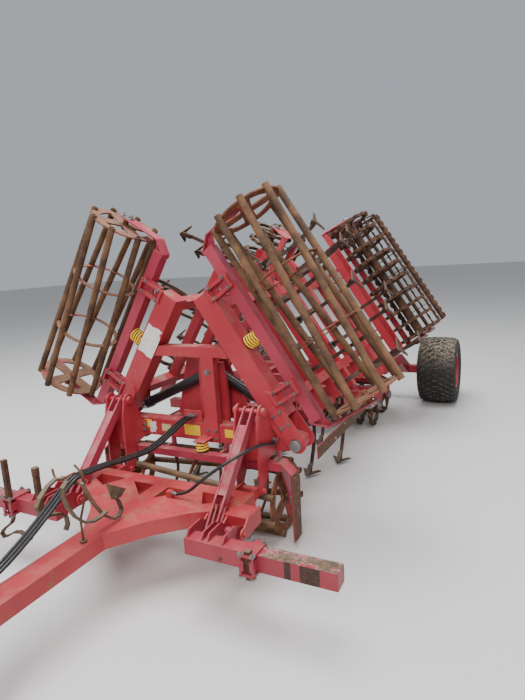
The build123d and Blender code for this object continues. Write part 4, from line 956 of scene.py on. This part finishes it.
hose_ends()

# Fasteners. Places of the rear rollers' shafts, of the tine rows and of the tines in them: row, place across
REAR_AXES_Y = (2800, 3300)
REAR_AXIS_W = -545
REAR_AXIS_Z = 252
ROWS = (850, 1230, 1610, 1990)
WING_TINES = (
    (0, 390), (0, 1010), (1, 160), (1, 840), (1, 1440),
    (2, 500), (2, 1240), (3, 90), (3, 670), (3, 1350),
)
CENTRE_TINES = (
    (0, -510), (0, 170), (1, -170), (1, 510),
    (2, -680), (2, 0), (2, 680), (3, -340), (3, 340),
)
# Underside of a tine clamp, and its bolts off the tine, across and rearwards
CLAMP_LOW = -66
CLAMP_BOLTS = [(across, along) for across in (-24, 24) for along in (-28, 36)]
# Radii of bolt heads in metres, and their height as a share of them
CLAMP_BOLT_R = 0.009
SMALL_BOLT_R = 0.01
BOLT_R = 0.011
LARGE_BOLT_R = 0.012
TOOL_CLAMP_BOLT_R = 0.013
REST_BOLT_R = 0.018
HEAD_SHARE = 0.7
# Raised plate of a hinge fork, and brackets of a rear roller frame on the rear arm
HINGE_PLATE_Y = 152
HINGE_PLATE_BOLTS = ((150, -30), (150, 30), (255, -22), (255, 40))
REAR_ARM_Y = 2575
BRACKETS_U = (400, 1100)
BRACKET_HALF = 30
BRACKET_W = 36
# Outer faces of the roller bearings: along a wing in front and at the rear, and off the midplane
FRONT_BEARINGS_U = (-12, 1612)
REAR_BEARINGS_U = (61, 1634)
CENTRE_BEARING_X = 779
# Side plates: bolts of the bent top and of the deflector's hangers
SIDE_TOP_X = 745
SIDE_TOP_Z = 630
SIDE_TOP_Y = (70, 100, 130)
HANGER_BOLT_X = 865
HANGER_BOLT_Z = 545
# Posts on the cross beam, and the gusset and foot of the rest post
POST_X = 592
POST_HALF = 95
POST_BOLTS_Y = 150
POST_BOLTS_Z = (720, 765)
BEAM_FRONT_Y = 178
REST_BOLT_X = 147
REST_BOLT_Z = 1225
REST_FOOT_X = (112, 183)
REST_FOOT_Z = (700, 760)
# Toolbar clamps: middle, half pitch, front and rear bolts, top and underside
TOOL_CLAMP_X = 970
TOOL_CLAMP_HALF = 38
TOOL_CLAMP_Y = (-821, -667)
TOOL_CLAMP_Z = (482, 358)


# Bolts at each row's place, facing its direction with its radius, and bearings at places facing directions
def fasteners(name, body, rows, bearings=()):
    shape = Shape()
    for p, d, r in rows:
        shape.bolt(p, d, r, r * HEAD_SHARE)
    for p, d in bearings:
        shape.bearing(p, d)
    shape.build(name, (ZINC, ZINC), body)


def wing_fasteners(g, side):
    body = "wing_" + side
    out = wing_dir(1, 0, 0, g)
    up = wing_dir(0, 0, 1, g)
    rows = [(on_wing(u, HINGE_PLATE_Y, w, g), -Y, LARGE_BOLT_R) for u, w in HINGE_PLATE_BOLTS]
    for row, u in WING_TINES:
        for across, along in CLAMP_BOLTS:
            rows.append((on_wing(u + across, ROWS[row] + along, CLAMP_LOW, g), -up, CLAMP_BOLT_R))
    for u in BRACKETS_U:
        for across in (-BRACKET_HALF, BRACKET_HALF):
            for w in (BRACKET_W, -BRACKET_W):
                rows.append((on_wing(u + across, REAR_ARM_Y, w, g), Y, BOLT_R))
    bearings = []
    for u, facing in zip(FRONT_BEARINGS_U, (-out, out)):
        bearings.append((on_wing(u, TUBE_AXIS_Y, TUBE_AXIS_W, g), facing))
    for y in REAR_AXES_Y:
        for u, facing in zip(REAR_BEARINGS_U, (-out, out)):
            bearings.append((on_wing(u, y, REAR_AXIS_W, g), facing))
    fasteners("fasteners_" + body, body, rows, bearings)


def machine_fasteners():
    rows = []
    bearings = []
    for row, x in CENTRE_TINES:
        for across, along in CLAMP_BOLTS:
            rows.append((at(x + across, ROWS[row] + along, PIN_Z + CLAMP_LOW), -Z, CLAMP_BOLT_R))
    for g in (1, -1):
        for y in SIDE_TOP_Y:
            rows.append((at(g * SIDE_TOP_X, y, SIDE_TOP_Z), Z, SMALL_BOLT_R))
        for y in (ROWS[1], ROWS[3]):
            rows.append((at(g * HANGER_BOLT_X, y, HANGER_BOLT_Z), X * g, SMALL_BOLT_R))
        for z in POST_BOLTS_Z:
            for s in (1, -1):
                place = at(g * (POST_X + s * POST_HALF), POST_BOLTS_Y, z)
                rows.append((place, X * g * s, LARGE_BOLT_R))
    rows.append((at(REST_BOLT_X, BEAM_FRONT_Y, REST_BOLT_Z), -Y, REST_BOLT_R))
    for z in REST_FOOT_Z:
        for x in REST_FOOT_X:
            rows.append((at(x, BEAM_FRONT_Y, z), -Y, BOLT_R))
    for g in (1, -1):
        bearings.append((at(g * CENTRE_BEARING_X, TUBE_AXIS_Y, TUBE_AXIS_Z), X * g))
        for y in REAR_AXES_Y:
            bearings.append((at(g * CENTRE_BEARING_X, y, REAR_AXIS_Z), X * g))
    fasteners("fasteners_machine", "machine", rows, bearings)


def drawbar_fasteners():
    rows = []
    top, low = TOOL_CLAMP_Z
    for g in (1, -1):
        for across in (-TOOL_CLAMP_HALF, TOOL_CLAMP_HALF):
            for y in TOOL_CLAMP_Y:
                x = g * (TOOL_CLAMP_X + across)
                rows.append((at(x, y, top), Z, TOOL_CLAMP_BOLT_R))
                rows.append((at(x, y, low), -Z, TOOL_CLAMP_BOLT_R))
    fasteners("fasteners_drawbar", "drawbar_body", rows)


for g, side in SIDES:
    wing_fasteners(g, side)
machine_fasteners()
drawbar_fasteners()

# Link bars: two flat straps from the roller beam up over the arm's face, with end plates across them and one
# back to the beam. Places along the wing and of the strap's face; a strap's thickness, place off the middle,
# half width and reach
STRAPS = ((355, 152), (1240, 164))
STRAP_T = 12
STRAP_K = 43
STRAP_HALF = 13
STRAP_W = (-246, -22)
STRAP_PLATE_IN = 14
STRAP_PLATE_HALF_T = 0.011
STRAP_PLATE_HALF_W = 0.009
STRAP_BOLT_IN = 40
STRAP_BOLT_T = 0.008
ROLLER_BEAM_Y = 195


def strap_pair(shape, u, y, g):
    low, high = STRAP_W
    inner = STRAP_K - STRAP_HALF
    outer = STRAP_K + STRAP_HALF
    across = wing_dir(1, 0, 0, g) * outer / 1000
    up = wing_dir(0, 0, 1, g) * STRAP_PLATE_HALF_W
    bars = [
        [(u - outer, low), (u - inner, low), (u - inner, high), (u - outer, high)],
        [(u + inner, low), (u + outer, low), (u + outer, high), (u + inner, high)],
    ]
    shape.slab(bars, lambda a, b: on_wing(a, y, b, g), lambda a, b: on_wing(a, y + STRAP_T, b, g))
    for w in (low + STRAP_PLATE_IN, high - STRAP_PLATE_IN):
        shape.block(on_wing(u, y + STRAP_T / 2 - 1, w, g), across, Y * STRAP_PLATE_HALF_T, up)
    shape.block(on_wing(u, (y + STRAP_T + ROLLER_BEAM_Y) / 2, low + STRAP_PLATE_IN, g), across,
                Y * (ROLLER_BEAM_Y - y - STRAP_T) / 2000, up)
    for k in (-STRAP_K, STRAP_K):
        for w in (low + STRAP_BOLT_IN, high - STRAP_BOLT_IN):
            shape.bolt(on_wing(u + k, y, w, g), -Y, SMALL_BOLT_R, STRAP_BOLT_T, 1)


for g, side in SIDES:
    shape = Shape()
    for u, y in STRAPS:
        strap_pair(shape, u, y, g)
    shape.build("link_straps_" + side, (RED, ZINC), "wing_" + side)

# The side plates' outer skins, straight down to their worn lower ends
SKIN_X = (854, 866)
SKIN = [(45, 45), (166, 52), (176, 300), (176, 540), (45, 552)]
for g, side in SIDES:
    shape = Shape()
    near_x, far_x = SKIN_X
    shape.slab([SKIN], lambda y, z: at(g * near_x, y, z), lambda y, z: at(g * far_x, y, z))
    shape.build("side_skin_" + side, (WORN_SIDE,), "machine")

# Round heads of the fork pins, each on its raised plate, with the bent lock plate beside it.
# Steps of a head from its seat outwards: places along the pin and radii in metres, sides
HEAD = ((151, 116, 0.041, 0.041, 36), (116, 112, 0.041, 0.035, 36), (113, 110, 0.021, 0.019, 24))
LOCK_PLATE = [(44, -26), (74, -8), (74, 26), (40, 30), (30, 40), (22, 34), (44, 6)]
LOCK_PLATE_Y = (141, 146)
for g, side in SIDES:
    shape = Shape()
    for y0, y1, r0, r1, sides in HEAD:
        shape.prism(on_wing(0, y0, 0, g), on_wing(0, y1, 0, g), r0, r1, sides=sides)
    near_y, far_y = LOCK_PLATE_Y
    shape.slab([LOCK_PLATE], lambda u, w: on_wing(u, near_y, w, g), lambda u, w: on_wing(u, far_y, w, g), 1)
    shape.build("fork_pin_head_" + side, (PIN_STEEL, RED), "wing_" + side)

# Blank labels on the cross beam, each a thin sheet: middle, half width, half height, material
LABEL_Y = 189.4
LABEL_HALF_T = 0.0004
LABELS = ((-484, 762, 37, 34, 0), (-300, 741, 45, 30, 1), (-45, 746, 74, 42, 0), (300, 749, 44, 32, 0))
TORN_AT = (-436, 735)
TORN_Y = (189.2, 188.6)
TORN = (
    (-38, 46), (-20, 50), (2, 44), (24, 52), (36, 40), (30, 12), (39, -8), (22, -30), (27, -46), (-2, -40),
    (-18, -52), (-34, -36), (-28, -6),
)
# Torn label on the front face of the right wing's arm
WING_LABEL_Y = (175.4, 174.8)
WING_LABEL = (
    (748, 108), (866, 110), (944, 108), (966, 86), (996, 108), (1006, 60), (990, 8), (1000, -40), (860, -46),
    (744, -44), (752, 16), (740, 58),
)


def machine_labels():
    shape = Shape()
    for x, z, half_x, half_z, slot in LABELS:
        shape.block(at(x, LABEL_Y, z), X * half_x / 1000, Y * LABEL_HALF_T, Z * half_z / 1000, slot)
    x0, z0 = TORN_AT
    near_y, far_y = TORN_Y
    shape.sheet(TORN, lambda x, z: at(x0 + x, near_y, z0 + z), lambda x, z: at(x0 + x, far_y, z0 + z), 2)
    shape.build("labels_machine", (LABEL, PALE_LABEL, WHITE_LABEL), "machine")


def wing_label():
    shape = Shape()
    near_y, far_y = WING_LABEL_Y
    shape.sheet(WING_LABEL, lambda u, w: on_wing(u, near_y, w, -1), lambda u, w: on_wing(u, far_y, w, -1))
    shape.build("label_wing", (WHITE_LABEL,), "wing_right")


machine_labels()
wing_label()

# Camera as fitted to the photo: place in metres, angles in radians, focal length and frame height in pixels
CAMERA_AT = (2.25626, -3.9498, 2.04263)
YAW = 0.4785
PITCH = 0.1772
ROLL = 0.0631
FOCAL_PIXELS = 507.5446
FRAME_PIXELS = 700
SENSOR = 36
FARTHEST = 300


def set_camera():
    forward = Vector((-sin(YAW) * cos(PITCH), cos(YAW) * cos(PITCH), -sin(PITCH)))
    across = Vector((cos(YAW), sin(YAW), 0))
    down = forward.cross(across)
    right = across * cos(ROLL) + down * sin(ROLL)
    down = down * cos(ROLL) - across * sin(ROLL)
    camera = bpy.data.objects.new("camera", bpy.data.cameras.new("camera"))
    camera.data.lens = SENSOR * FOCAL_PIXELS / FRAME_PIXELS
    camera.data.sensor_width = SENSOR
    camera.data.clip_end = FARTHEST
    turn = Matrix((right, -down, -forward)).transposed()
    camera.matrix_world = Matrix.Translation(Vector(CAMERA_AT)) @ turn.to_4x4()
    bpy.context.scene.collection.objects.link(camera)
    bpy.context.scene.camera = camera


# Pale floor and soft studio light
FLOOR_HALF = 60
# Lights: name, place, target, diameter, power, colour
LIGHTS = (
    ("sky", (0, -1, 11), (0, 0, 0), 9, 1900, (0.97, 0.98, 1)),
    ("key", (4, -9, 7), (0, 0, 1), 5, 750, (1, 0.97, 0.93)),
    ("fill", (-8, -4, 5), (0, 0, 1), 7, 260, (0.93, 0.96, 1)),
)


def lay_floor():
    mat, tree, bsdf = shader("pale floor", 0.9)
    bsdf.inputs["Base Color"].default_value = (0.62, 0.61, 0.59, 1)
    floor = Shape()
    corners = [(x * FLOOR_HALF, y * FLOOR_HALF, 0) for x, y in ((-1, -1), (1, -1), (1, 1), (-1, 1))]
    floor.add(corners, [(0, 1, 2, 3)])
    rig.stage(floor.build("floor", (mat,)))


def set_sky():
    world = bpy.data.worlds.new("sky")
    bpy.context.scene.world = world
    world.use_nodes = True
    background = world.node_tree.nodes["Background"]
    background.inputs["Color"].default_value = (0.84, 0.89, 0.97, 1)
    background.inputs["Strength"].default_value = 0.5


def light(name, place, target, size, power, colour):
    data = bpy.data.lights.new(name, "AREA")
    data.shape = "DISK"
    data.size = size
    data.energy = power
    data.color = colour
    obj = bpy.data.objects.new(name, data)
    obj.location = place
    obj.rotation_euler = (Vector(target) - Vector(place)).to_track_quat("-Z", "Y").to_euler()
    bpy.context.scene.collection.objects.link(obj)
    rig.stage(obj)


set_camera()
lay_floor()
set_sky()
for row in LIGHTS:
    light(*row)

json.dump({"before": [list(v) for v in size_before], "after": [list(v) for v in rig.bounds()]},
          open("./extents.json", "w"))
